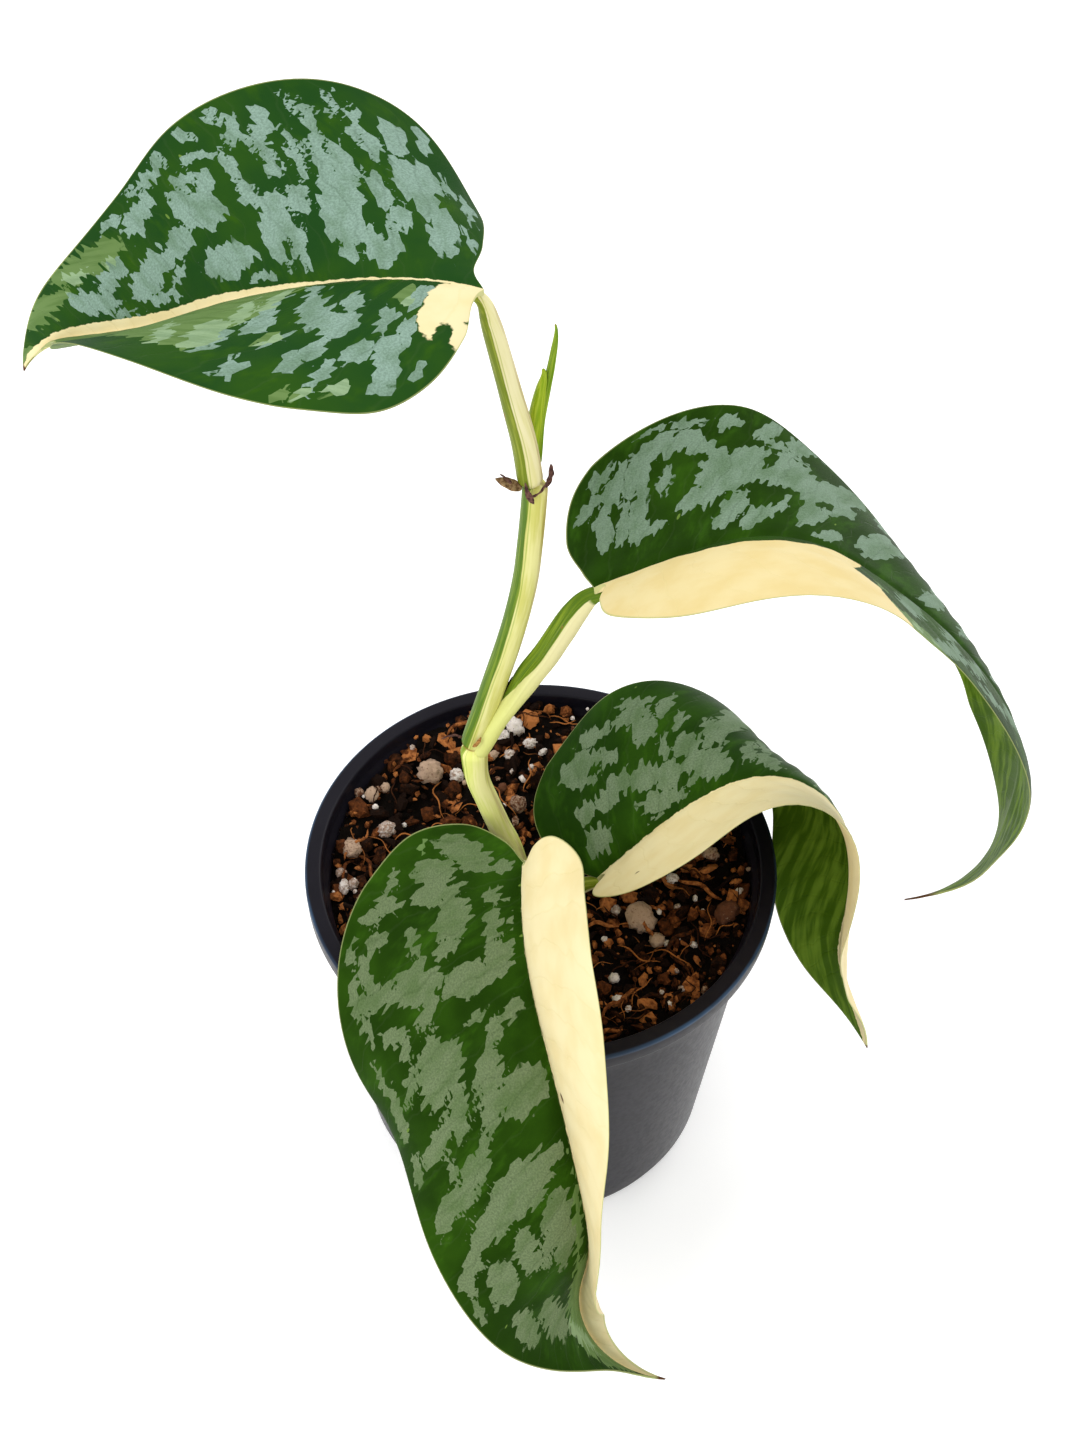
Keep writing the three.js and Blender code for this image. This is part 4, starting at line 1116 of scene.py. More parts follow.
# %% The stalks' paths and sections
# Points and radii are in millimetres. Channel is the direction to which the groove opens.
# Groove and lips are its depth and the height of its edges, as shares of the radius, and its
# width is an angle in radians.
STALKS = {
    "stem_below_fork": {
        "points": [
            [-3, 4, 56], [-4, 4, 72], [-7, 3.5, 90], [-10, 3, 100], [-12.8, 2.5, 110], [-15.2, 2.1, 119.6],
            [-15.9, 2.1, 130.6],
        ],
        "radii": [3, 2.9, 2.8, 2.7, 2.65, 2.7, 3.2],
    },
    "stem_above_fork": {
        "points": [
            [-16.4, 2.4, 129], [-15.1, 2.4, 135], [-13, 2.4, 144], [-10.7, 2.7, 154], [-8.4, 3.2, 164],
            [-6.5, 3.6, 174], [-5.1, 3.8, 184], [-4.4, 3.7, 194], [-3.9, 3.3, 204], [-3.6, 3, 212.8],
        ],
        "radii": [2.7, 2.75, 2.75, 2.7, 2.7, 2.65, 2.6],
    },
    "petiole_1": {
        "points": [
            [-4.4, 2.8, 211.6], [-5.9, 3, 223], [-8.3, 3, 234.3], [-10.5, 3, 244.6], [-12.7, 3, 254.5],
            [-14, 3, 259], [-16.5, 3.6, 261],
        ],
        "radii": [2.7, 2.7, 2.6, 2.4, 2.3, 2.1, 1.1],
        "channel": [0.8, 0.6, 0.1],
        "groove": [0.1, 0.3, 0.2, 0.25, 0.4, 0.3],
    },
    "petiole_2": {
        "points": [
            [-14.6, 0.7, 128.6], [-12.9, 0.5, 133.5], [-10.2, 0.6, 140.9], [-7.4, 1, 147], [-3.8, 1.7, 155],
            [-0.4, 1.95, 161.6], [2.6, 2, 168.7], [5.4, 2, 175.2], [8.2, 1.95, 180], [12, 1.8, 182.4],
        ],
        "radii": [1.7, 1.85, 1.95, 2.3, 2.9, 2.95, 2.9, 2.85, 2.4, 1.2],
        "channel": [-0.75, -0.45, 0.4],
        "groove": [0, 0.05, 0.25, 0.45, 0.5, 0.45, 0.35, 0.3],
        "lips": [0, 0, 0.08, 0.12, 0.12, 0.1, 0.05],
        "groove_width": 0.7,
    },
    "petiole_3": {
        "points": [[2, 1, 57], [3, 0.5, 70], [6, -1, 80], [10.5, -3.2, 86.4], [14.5, -4.2, 89.6]],
        "radii": [2.3, 2.3, 2.3, 2.2, 1.2],
        "channel": [-0.6, 0.2, 0.8],
        "groove": [0, 0.1, 0.3, 0.3],
    },
    "petiole_4": {
        "points": [[-2, -5, 57], [-2, -5.8, 75], [-2.6, -8, 92], [-3.5, -12.4, 105], [-3.9, -18.3, 111.6]],
        "radii": [2.3, 2.3, 2.3, 2.2, 1.2],
        "channel": [0, 1, 0.3],
        "groove": [0, 0.1, 0.3, 0.3],
    },
}
PATH_STEPS = 1200
STALK_RINGS = 150
STALK_SIDES = 56
USUAL_GROOVE_WIDTH = 0.6
LIP_ANGLE = 0.85
LIP_WIDTH = 0.14


def smooth_path(points, count):
    """Places at equal distances along the smooth curve through the points, with the direction
    at each and the distance from the start."""
    fine = np.linspace(0, 1, PATH_STEPS)
    curve = np.stack([along(np.asarray(points, float)[:, axis], fine) for axis in range(3)], -1)
    run = np.concatenate(([0], np.cumsum(np.linalg.norm(np.diff(curve, axis=0), axis=1))))
    at = np.linspace(0, run[-1], count)
    place = np.stack([np.interp(at, run, curve[:, axis]) for axis in range(3)], -1)
    tangent = np.gradient(place, axis=0)
    return place, tangent / np.linalg.norm(tangent, axis=1, keepdims=True), at


def stalk_sections(spec, rings=STALK_RINGS, sides=STALK_SIDES):
    """The rings of a stalk: the radius times one less the groove, which is a bell round the
    channel's direction, plus two narrow bells for its lips, times a dome at the two ends. Also
    how each point looks outwards."""
    place, tangent, run = smooth_path(spec["points"], rings)
    s = run / run[-1]
    channel = np.asarray(spec.get("channel", [1, 0, 0]), float)
    towards = channel - tangent * (tangent @ channel)[:, None]
    towards /= np.linalg.norm(towards, axis=1, keepdims=True)
    across = np.cross(towards, tangent)
    angle = np.linspace(-np.pi, np.pi, sides, endpoint=False)[None, :]
    depth = along(spec.get("groove", [0, 0]), s)[:, None]
    radius = along(spec["radii"], s)[:, None]
    from_end = np.minimum(run, run[-1] - run)[:, None] / radius
    dome = np.sqrt(np.clip(1 - (1 - np.clip(from_end, 0, 1)) ** 2, 0.02, 1))
    off_lip = (np.abs(angle) - LIP_ANGLE) / LIP_WIDTH
    lips = along(spec.get("lips", [0, 0]), s)[:, None] * np.exp(-(off_lip**2))
    off_groove = angle / spec.get("groove_width", USUAL_GROOVE_WIDTH)
    size = radius * (1 - depth * np.exp(-(off_groove**2)) + lips) * dome
    outward = towards[:, None] * np.cos(angle)[..., None] + across[:, None] * np.sin(angle)[..., None]
    points = place[:, None] + outward * size[..., None]
    turn = np.broadcast_to(angle, size.shape)
    reach = np.broadcast_to(run[:, None], size.shape)
    return points, outward, np.stack([reach, turn * radius, turn], -1), place


def with_poles(grid, first, last):
    """A grid's rows as one list with the two poles' rows after it."""
    return np.concatenate([grid.reshape(-1, 3), [first, last]])


def add_stalk(name, spec, material, slot, nodes, **options):
    """A stalk with its outward directions and its run kept as attributes."""
    points, outward, run, place = stalk_sections(spec, **options)
    values = {
        "stalk_out": with_poles(outward, outward[0, 0], outward[-1, 0]),
        "stalk_run": with_poles(run, run[0, 0], run[-1, 0]),
    }
    faces = ring_faces(*points.shape[:2])
    piece = add_piece(name, with_poles(points, place[0], place[-1]), faces, values, material)
    return stand_for(piece, slot, *nodes)


# %% [markdown]
# ## The skin of the stem and the stalks
# The stem and stalks are waxy, from yellow green to ivory, with a dark green stripe down their
# left side, a thin bright line beside it, and rust flecks. The stripe could go by the angle round
# a stalk, but a stalk twists and the stripe stays on one side of the plant. So it goes by the
# direction in which the skin looks.

# %% What all stalk finishes share
LEFT_SIDE = (-0.93, -0.2, 0.3)
RIGHT_SIDE = (0.95, -0.3, 0.0)
RUST = (0.33, 0.13, 0.03, 1)
# The brown of the shade painted on the edge of a stalk that faces right.
RIGHT_EDGE_PAINTED_SHADE = (0.24, 0.12, 0.05, 1)


def stalk_layers(name):
    """What all stalk finishes start from: the wiring, the outward direction, the run along and
    round the stalk, and fine and soft streaks along it."""
    material, shader, w = new_finish(name, Roughness=0.42, IOR=1.45, Specular_IOR_Level=0.1)
    run = w.attribute("stalk_run")
    fine = w.group(STREAKS, {"Vector": run, "Width": 0.5, "Stretch": 30.0})
    soft = w.group(STREAKS, {"Vector": run, "Width": 1.6, "Stretch": 14.0})
    return material, shader, w, w.attribute("stalk_out"), run, fine, soft


def finish_stalk(w, shader, colour, run, fine, specks):
    """Rust flecks, drawn out along the stalk, and the streaked skin's relief."""
    x, y, _ = w.parts(run)
    flat = w.vector(w.times(x, 0.45), y)
    rust = w.group(SPECKS, {"Vector": flat, "Size": 3.0, "Share": specks, "Radius": 0.13})
    colour = w.mix(w.times(rust, 0.7), colour, RUST)
    skin = w.group(SKIN, {"Vector": run, "Size": 0.6})
    height = w.plus(w.times(fine, 0.5), w.times(skin, 0.5))
    lay(w, shader, Base_Color=colour, Normal=w.bump(height, 0.00012, strength=0.5))


# %% Striped stem and stalks


def make_stalk_finish(name, flesh, pale, dark, fresh, stripe_edge, specks, scar=0.0):
    """A waxy skin from pale to flesh colour. A dark green stripe runs down the left side with a
    thin fresh green line beside it, and a brown shade is painted on the edge that faces right.
    With a scar, the first millimetres are brown."""
    material, shader, w, out, run, fine, soft = stalk_layers(name)
    look = lambda side: w.add("ShaderNodeVectorMath", {0: out, 1: side}, "Value", operation="DOT_PRODUCT")
    colour = w.mix(w.step(soft, 0.35, 0.65), pale, flesh)
    wander = w.times(w.less(fine, 0.5), 0.2)
    facing = w.plus(look(LEFT_SIDE), wander)
    rise = w.step(facing, stripe_edge - 0.17, stripe_edge - 0.13)
    fall = w.step(facing, stripe_edge - 0.06, stripe_edge - 0.09)
    colour = w.mix(w.times(w.times(rise, fall), 0.55), colour, fresh)
    green = w.mix(w.step(fine, 0.45, 0.65, 0.0, 0.6), dark, fresh)
    colour = w.mix(w.step(facing, stripe_edge, stripe_edge + 0.06), colour, green)
    # Painted shade: the edge that faces right turns brown.
    right_shade = w.step(w.plus(look(RIGHT_SIDE), wander), 0.9, 1.0)
    colour = w.mix(w.times(right_shade, 0.45), colour, RIGHT_EDGE_PAINTED_SHADE)
    if scar:
        colour = w.mix(w.step(w.parts(run)[0], scar + 0.3, scar, 0.0, 0.7), colour, RUST)
    finish_stalk(w, shader, colour, run, fine, specks)
    return material


STEM_DARK = (0.082, 0.165, 0.008, 1)
STEM_FRESH = (0.24, 0.33, 0.03, 1)
LOWER_STEM = make_stalk_finish(
    "lower_stem_skin", flesh=(0.74, 0.78, 0.22, 1), pale=(0.90, 0.88, 0.40, 1), dark=STEM_FRESH,
    fresh=(0.42, 0.54, 0.08, 1), stripe_edge=0.82, specks=0.05,
)
UPPER_STEM = make_stalk_finish(
    "upper_stem_skin", flesh=(0.56, 0.55, 0.14, 1), pale=(0.72, 0.70, 0.30, 1), dark=STEM_DARK,
    fresh=STEM_FRESH, stripe_edge=0.56, specks=0.20, scar=1.9,
)
PETIOLE = make_stalk_finish(
    "petiole_skin", flesh=(0.68, 0.64, 0.30, 1), pale=(0.76, 0.71, 0.42, 1),
    dark=(0.16, 0.21, 0.012, 1), fresh=(0.34, 0.38, 0.05, 1), stripe_edge=0.22, specks=0.2,
)

# %% The channelled stalk
# Distances are in millimetres up the stalk, and angles are in radians round it.
PALE_BETWEEN = (10.0, 45.0)
CHANNEL_START = 12.0
CHANNEL_FULL = 34.0
CHANNEL_LEFT = 1.0
CHANNEL_RIGHT = -0.7
CHANNEL_SHADED = (48.0, 56.0)
GREEN_ALL_ROUND = (56.5, 57.5)
CHANNEL_SPECKS = 0.12


def make_channel_finish(name, flesh, pale, shaded, bright):
    """Ivory skin with a striped green channel. The channel is painted by the angle round the
    stalk: its right edge opens gradually from the left side between two distances. The top of
    the stalk is green all round."""
    material, shader, w, out, run, fine, soft = stalk_layers(name)
    reach, _, turn = w.parts(run)
    colour = w.mix(w.step(reach, *PALE_BETWEEN), flesh, pale)
    edge = w.step(reach, CHANNEL_START, CHANNEL_FULL, CHANNEL_LEFT, CHANNEL_RIGHT)
    wander = w.times(w.less(fine, 0.5), 0.25)
    past_edge = w.less(w.plus(turn, wander), edge)
    before_left = w.step(turn, CHANNEL_LEFT, CHANNEL_LEFT - 0.08)
    inside = w.times(w.step(past_edge, 0.0, 0.06), before_left)
    stripes = w.group(STREAKS, {"Vector": run, "Width": 0.4, "Stretch": 50.0})
    green = w.mix(w.step(stripes, 0.38, 0.6), shaded, bright)
    green = w.mix(w.step(reach, *CHANNEL_SHADED, 0.0, 0.7), green, shaded)
    colour = w.mix(w.math("MAXIMUM", inside, w.step(reach, *GREEN_ALL_ROUND)), colour, green)
    finish_stalk(w, shader, colour, run, fine, CHANNEL_SPECKS)
    return material


CHANNELLED = make_channel_finish(
    "channel_skin", flesh=(0.66, 0.68, 0.22, 1), pale=(0.72, 0.67, 0.36, 1),
    shaded=(0.08, 0.155, 0.008, 1), bright=(0.20, 0.29, 0.02, 1),
)

# %% Make the stem and the stalks
add_stalk("stem_below_fork", STALKS["stem_below_fork"], LOWER_STEM, "stem_skin", ["stem"])
add_stalk("stem_above_fork", STALKS["stem_above_fork"], UPPER_STEM, "stem_skin", [])
for number, finish in enumerate((PETIOLE, CHANNELLED, PETIOLE, PETIOLE), start=1):
    node = f"petiole_{number}"
    add_stalk(f"leaf_stalk_{number}", STALKS[node], finish, "petiole_skin", [node])

# %% [markdown]
# ## The new shoot
# A new leaf stands rolled up beside the upper stalk, half wrapped in its sheath. A flat sheet
# could be rolled up like paper, but at this size only the groove along the roll's edge shows. So
# roll and sheath are two tapered stalks, each with a groove and fine streaks.

# %% The rolled leaf
SHOOT_ROLL = {
    "points": [
        [-3.6, 6.4, 214], [-3.1, 7.4, 224], [-2.0, 8, 233], [-1.3, 8, 238], [-0.85, 8, 242],
        [-0.5, 8, 245.5], [-0.42, 8, 248], [-0.65, 8, 249.7],
    ],
    "radii": [1.1, 1.1, 1.0, 0.98, 0.92, 0.78, 0.6, 0.2],
    "channel": [-0.6, -0.7, 0.2],
    "groove": [0, 0.1, 0.25, 0.3, 0.3, 0.2],
}
SHOOT_SHEATH = {
    "points": [
        [-4.7, 5.6, 214.5], [-4.5, 6.2, 220], [-3.7, 6.6, 228.6], [-3, 6.8, 234], [-2.5, 6.9, 237.3],
        [-2.7, 6.9, 239.2],
    ],
    "radii": [1.4, 1.5, 1.6, 1.4, 1.05, 0.3],
    "channel": [0.7, -0.6, 0.1],
    "groove": [0, 0.05, 0.15, 0.3, 0.2],
}
SHOOT_BROWN = (0.30, 0.14, 0.04, 1)
BROWNING = 1.2


def make_shoot_finish(name, shaded, bright, brown_from):
    """Fine lengthwise streaks between two greens, and a brown tip."""
    material, shader, w = new_finish(name, Roughness=0.38, IOR=1.45, Specular_IOR_Level=0.1)
    run = w.attribute("stalk_run")
    streak = w.group(STREAKS, {"Vector": run, "Width": 0.5, "Stretch": 20.0})
    colour = w.mix(w.step(streak, 0.35, 0.65), shaded, bright)
    reach = w.parts(run)[0]
    colour = w.mix(w.step(reach, brown_from, brown_from + BROWNING), colour, SHOOT_BROWN)
    lay(w, shader, Base_Color=colour, Normal=w.bump(streak, 0.0001, strength=0.6))
    return material


ROLL = make_shoot_finish("rolled_leaf_skin", (0.12, 0.23, 0.008, 1), (0.27, 0.38, 0.03, 1), 35.2)
SHEATH = make_shoot_finish("sheath_skin", (0.22, 0.34, 0.010, 1), (0.38, 0.48, 0.035, 1), 25.0)
add_stalk("rolled_leaf", SHOOT_ROLL, ROLL, "shoot_skin", ["new_shoot"], rings=90, sides=36)
add_stalk("shoot_sheath", SHOOT_SHEATH, SHEATH, "shoot_skin", [], rings=70, sides=36)

# %% [markdown]
# ## Dried scraps at the joints
# The old sheath has dried to torn brown flakes at the upper joint. A near-black flake, a thread
# and an edge of rust sit at the fork below. A cloth simulation could crumple a sheet, but not to
# these places. So each scrap is a short stalk pressed flat, curled and waved.

# %% The dried flakes
# Each scrap is its points and radii in millimetres, and the direction along which it is pressed.
FLAKES = {
    "flake_left": (
        [[-6.2, 1.6, 212.4], [-7.6, 1.2, 212.6], [-9.6, 1.2, 213.6], [-11.6, 1, 214.9]],
        [0.9, 1.25, 1, 0.15], [0.2, -0.5, 1],
    ),
    "flake_prong": (
        [[-8.4, 1.3, 213.4], [-9.2, 1.2, 214.6], [-10.6, 1.3, 215.9]],
        [0.4, 0.3, 0.12], [0.2, -0.5, 1],
    ),
    "flake_front": (
        [[-5.6, -0.2, 215.2], [-5.2, -0.5, 213.2], [-4.5, -0.7, 211.4], [-3.8, -0.6, 209.6]],
        [0.15, 0.45, 0.7, 0.15], [0, -1, 0.2],
    ),
    "flake_right": (
        [[-1.4, 2.2, 211.6], [-1, 2.6, 213.4], [-0.7, 3, 215.2], [-0.6, 3.4, 217.2]],
        [0.5, 0.9, 0.8, 0.12], [0.8, -0.6, 0],
    ),
    "flake_thread": (
        [[-4.6, -0.4, 211.6], [-3.4, -0.4, 212], [-2.2, 0.2, 213], [-1.3, 1.2, 214.4]],
        [0.25, 0.3, 0.28, 0.2], [0.2, -1, 0],
    ),
    # A near-black flake in the fork between the upper stem and the second stalk.
    "fork_dark_flake": (
        [[-9.4, 3, 145.6], [-8.7, 3.1, 148.6], [-7.5, 3.2, 151.6], [-6.4, 3.3, 153.8]],
        [0.8, 1, 0.75, 0.12], [0.4, -0.9, 0.2],
    ),
    "fork_thread": (
        [[-23, 0, 134.4], [-21.4, 0.3, 135.1], [-19.8, 0.8, 134.9], [-18.4, 1.3, 133.6]],
        [0.12, 0.22, 0.3, 0.3], [0, -1, 0.4],
    ),
    "fork_rust": (
        [[-15.9, -0.9, 133.2], [-15.3, -1.2, 134.2], [-14.6, -1.3, 135.6], [-14.1, -1.2, 137]],
        [0.25, 0.45, 0.4, 0.1], [0, -1, 0.3],
    ),
}


def make_husk_finish(name, deep, light):
    """Dead tissue between two browns, in small clouds of noise."""
    material, shader, w = new_finish(name, Roughness=0.8, Specular_IOR_Level=0.2)
    streak = w.noise(w.place(), scale=1.6, detail=3.0)
    colour = w.mix(w.step(streak, 0.35, 0.7), deep, light)
    lay(w, shader, Base_Color=colour, Normal=w.bump(streak, 0.0003, strength=0.8))
    return material


TAN_HUSK = make_husk_finish("tan_husk", (0.16, 0.085, 0.035, 1), (0.42, 0.28, 0.14, 1))
PLUM_HUSK = make_husk_finish("plum_husk", (0.045, 0.018, 0.016, 1), (0.16, 0.075, 0.055, 1))
# A near-black finish for the flake in the fork.
NEAR_BLACK_FLAKE_FINISH = make_husk_finish("near_black_flake", (0.006, 0.005, 0.005, 1), (0.025, 0.018, 0.015, 1))
RUST_HUSK = make_husk_finish("rust_husk", (0.22, 0.09, 0.02, 1), (0.50, 0.26, 0.07, 1))
HUSKS = {"flake_left": TAN_HUSK, "fork_dark_flake": NEAR_BLACK_FLAKE_FINISH, "fork_rust": RUST_HUSK}
FLAKE_PRESS = 0.7
FLAKE_CURL = 0.35
FLAKE_WAVE = 0.12


def add_flake(name):
    """A thin curled scrap: a stalk's sections pressed flat along one direction, curled by the
    square of the distance from the middle, with a sine wave."""
    middle, radii, flat = FLAKES[name]
    spec = {"points": middle, "radii": radii, "channel": flat}
    points, outward, run, place = stalk_sections(spec, rings=40, sides=20)
    flat = np.asarray(flat, float) / np.linalg.norm(flat)
    away = points - place[:, None]
    height = (away @ flat)[..., None] * flat
    thin = away - FLAKE_PRESS * height
    curl = FLAKE_CURL * (np.linalg.norm(away - height, axis=-1, keepdims=True)) ** 2 * flat
    wave = FLAKE_WAVE * np.sin(run[..., :1] * 3.1 + run[..., 1:2] * 2)
    points = place[:, None] + thin + curl + wave * flat
    faces = ring_faces(*points.shape[:2])
    husk = HUSKS.get(name, PLUM_HUSK)
    return add_piece(name, with_poles(points, place[0], place[-1]), faces, None, husk)


for flake_name in FLAKES:
    replaced = ["dried_sheath"] if flake_name == "flake_left" else []
    stand_for(add_flake(flake_name), "dry_husk", *replaced)

# %% [markdown]
# ## The pot
# A nursery pot is a thin moulded wall with a flat rim, a straight band below it and a small step
# at the foot. The Screw modifier could spin a drawn profile. Here a closed line of corners with
# small roundings is carried round the axis as one array, so that each measure has a name.

# %% The pot's profile
POT_HEIGHT = 90
RIM_RADIUS = 55.2
RIM_INNER_RADIUS = 51.3
BAND_BOTTOM = 84.8
WALL_TOP_RADIUS = 51
BASE_RADIUS = 42
FOOT_STEP = 2.5
WALL = 1.4
FLOOR = 1.5
POT_SIDES = 256
CORNER_STEPS = 5
LONGEST_RUN = 6.0

# Radius, height and rounding of each corner: up the outside with a fine raised line below the
# band, over the rim and down inside to the floor.
POT_CORNERS = [
    (BASE_RADIUS - 0.6, 0, 0.5), (BASE_RADIUS, FOOT_STEP, 0.3),
    (BASE_RADIUS + 0.5, FOOT_STEP + 0.4, 0.2),
    (50.35, 78.3, 0.2), (50.75, 78.6, 0.15), (50.5, 79.1, 0.15),
    (WALL_TOP_RADIUS, BAND_BOTTOM, 0.3), (RIM_RADIUS - 0.3, BAND_BOTTOM, 0.5),
    (RIM_RADIUS, POT_HEIGHT, 1.0), (RIM_INNER_RADIUS, POT_HEIGHT, 0.7),
    (RIM_INNER_RADIUS - 0.3, BAND_BOTTOM + 2, 0.6), (WALL_TOP_RADIUS - WALL, BAND_BOTTOM, 0.6),
    (BASE_RADIUS + 0.5 - WALL, FOOT_STEP + 1.4, 1.5), (BASE_RADIUS - 3, FLOOR, 1.0),
]


def rounded(corners):
    """Each corner of a line is replaced by a short arc: points on the curve that starts and
    ends a rounding's length away from the corner and bends towards it."""
    spots = np.array([(r, z) for r, z, _ in corners], float)
    before = np.vstack([[0, spots[0, 1]], spots[:-1]])
    after = np.vstack([spots[1:], [0, spots[-1, 1]]])
    size = np.array([c[2] for c in corners])[:, None]
    unit = lambda v: v / np.linalg.norm(v, axis=1, keepdims=True)
    start = spots + unit(before - spots) * size
    end = spots + unit(after - spots) * size
    t = np.linspace(0, 1, CORNER_STEPS)[None, :, None]
    curve = start[:, None] * (1 - t) ** 2 + 2 * spots[:, None] * t * (1 - t) + end[:, None] * t**2
    return curve.reshape(-1, 2)


def turned(profile, sides):
    """A profile carried round the axis: radius times cosine, less radius times sine, height."""
    angle = np.linspace(0, 2 * np.pi, sides, endpoint=False)[None, :]
    radius, height = profile[:, :1], profile[:, 1:]
    return np.stack([radius * np.cos(angle), -radius * np.sin(angle), height + 0 * angle], -1)


def with_long_runs(profile, longest):
    """The profile with points added on its long straight runs."""
    pieces = []
    for a, b in zip(profile[:-1], profile[1:]):
        count = max(1, int(np.linalg.norm(b - a) // longest))
        pieces.append(a + (b - a) * np.linspace(0, 1, count, endpoint=False)[:, None])
    return np.vstack([*pieces, profile[-1:]])


# %% [markdown]
# ## Black plastic
# The plastic is black, a little dusty and not quite smooth, and a blue highlight is painted
# into the colour of the rim's rounded outer edge. The edge could be a material of its own, but
# that would start at a hard line, so the shader finds it by radius and height.

# %% The pot's finish
PLASTIC_BLACK = (0.007, 0.006, 0.010, 1)
PLASTIC_WORN = (0.010, 0.009, 0.014, 1)
DUST = (0.04, 0.037, 0.040, 1)
# The colour of the blue highlight painted on the rim's outer edge, and the heights it spans.
RIM_PAINTED_HIGHLIGHT = (0.035, 0.075, 0.14, 1)
PAINTED_HIGHLIGHT_HEIGHTS = (88.4, 89.2)


def make_pot_finish():
    """Black plastic with a little dust and a fine uneven skin. The painted blue highlight is where
    both the radius and the height reach the rim's outer edge, stronger in clouds."""
    material, shader, w = new_finish("pot_plastic", IOR=1.48, Specular_IOR_Level=0.12)
    place = w.place()
    cloud = w.noise(place, scale=0.05, detail=3.0)
    dust = w.noise(place, scale=0.6, detail=4.0, roughness=0.7)
    colour = w.mix(w.step(cloud, 0.35, 0.65), PLASTIC_BLACK, PLASTIC_WORN)
    colour = w.mix(w.step(dust, 0.62, 0.8, 0.0, 0.25), colour, DUST)
    x, y, z = w.parts(place)
    radius = w.math("SQRT", w.plus(w.times(x, x), w.times(y, y)))
    outermost = w.step(radius, RIM_RADIUS - 0.8, RIM_RADIUS - 0.3)
    edge = w.times(outermost, w.step(z, *PAINTED_HIGHLIGHT_HEIGHTS))
    # Painted highlight: blue on the rim's rounded outer edge.
    painted_highlight = w.times(edge, w.step(cloud, 0.35, 0.6, 0.3, 0.9))
    colour = w.mix(painted_highlight, colour, RIM_PAINTED_HIGHLIGHT)
    rough = w.step(dust, 0.3, 0.75, 0.30, 0.40)
    grain = w.group(SKIN, {"Vector": place, "Size": 0.5})
    lay(w, shader, Base_Color=colour, Roughness=rough, Normal=w.bump(grain, 0.00003, strength=0.3))
    return material


# %% [markdown]
# ## Drain holes
# Such a pot has a ring of holes in its floor. Rings of points with holes would take many special
# faces. So a Boolean modifier cuts plain cylinders out of the finished pot.

# %% The drain holes
DRAINS = 6
DRAIN_RING = 30
DRAIN_RADIUS = 4
DRAIN_SIDES = 32
DRAIN_ENDS = (-3, 4)


def cut_holes(piece):
    """Takes six plain cylinders out of the pot's floor. Each one is two circles with poles."""
    angle = np.linspace(0, 2 * np.pi, DRAIN_SIDES, endpoint=False)
    circle = np.stack([DRAIN_RADIUS * np.cos(angle), DRAIN_RADIUS * np.sin(angle)], -1)
    low, high = DRAIN_ENDS
    for number in range(DRAINS):
        turn = 2 * np.pi * number / DRAINS
        centre = DRAIN_RING * np.array([np.cos(turn), np.sin(turn)])
        levels = [np.column_stack([circle + centre, np.full(DRAIN_SIDES, z)]) for z in DRAIN_ENDS]
        points = with_poles(np.stack(levels), [*centre, low], [*centre, high])
        cutter = add_piece(f"hole_{number}", points, ring_faces(2, DRAIN_SIDES))
        modifier = piece.modifiers.new("hole", "BOOLEAN")
        modifier.object = cutter
        modifier.operation = "DIFFERENCE"
        with bpy.context.temp_override(object=piece):
            bpy.ops.object.modifier_apply(modifier="hole")
        bpy.data.objects.remove(cutter)


pot_profile = with_long_runs(rounded(POT_CORNERS), LONGEST_RUN)
pot_rings = turned(pot_profile, POT_SIDES)
pot_points = with_poles(pot_rings, [0, 0, 0], [0, 0, FLOOR])
pot = add_piece("nursery_pot", pot_points, ring_faces(*pot_rings.shape[:2]), None, make_pot_finish())
cut_holes(pot)
stand_for(pot, "pot_plastic", "pot")

# %% [markdown]
# ## The body of the potting mix
# The mix is bark, coir and perlite, banked up at the back wall. A physics run could drop grains
# into the pot, but it ends differently each time. Here the body is one bumpy surface under loose
# grains, and its level is a formula, so every grain can ask how high the mix is at its place.

# %% The level of the mix
SOIL_LEVEL = 81
SOIL_FALL = 0.8
SOIL_BANK = 8.5
SOIL_EDGE = 48.4
EDGE_SPREAD = 2.6


def backward(x, y):
    """How far a place looks to the back: 1 straight back, 0.5 at the sides, 0 at the front."""
    return 0.5 + 0.5 * y / (np.hypot(x, y) + 0.5)


def soil_edge(x, y):
    """The mix reaches further out at the back, where it banks up to the wider rim."""
    return SOIL_EDGE + EDGE_SPREAD * backward(x, y)


def soil_top(x, y):
    """The level of the mix: a few slow waves, a fall towards the wall, and a bank at the back
    that grows with the square of the radius."""
    share = np.hypot(x, y) / WALL_TOP_RADIUS
    waves = 0.9 * np.sin(0.21 * x + 1) * np.cos(0.17 * y) + 0.6 * np.sin(0.43 * x - 0.35 * y)
    return SOIL_LEVEL + waves - SOIL_FALL * share**4 + SOIL_BANK * share**2 * backward(x, y)


# %% [markdown]
# ## Bark, grains and fibres
# Bark is red brown, perlite pinkish white, pumice tan. A material for every lump would be slow. So
# one recipe makes all five finishes, and mixes noise with a random shade that each lump carries.

# %% The finish of bark, grains and fibres
CRUMB_RELIEF = 0.0006
PIT_BROWN = (0.10, 0.05, 0.03, 1)


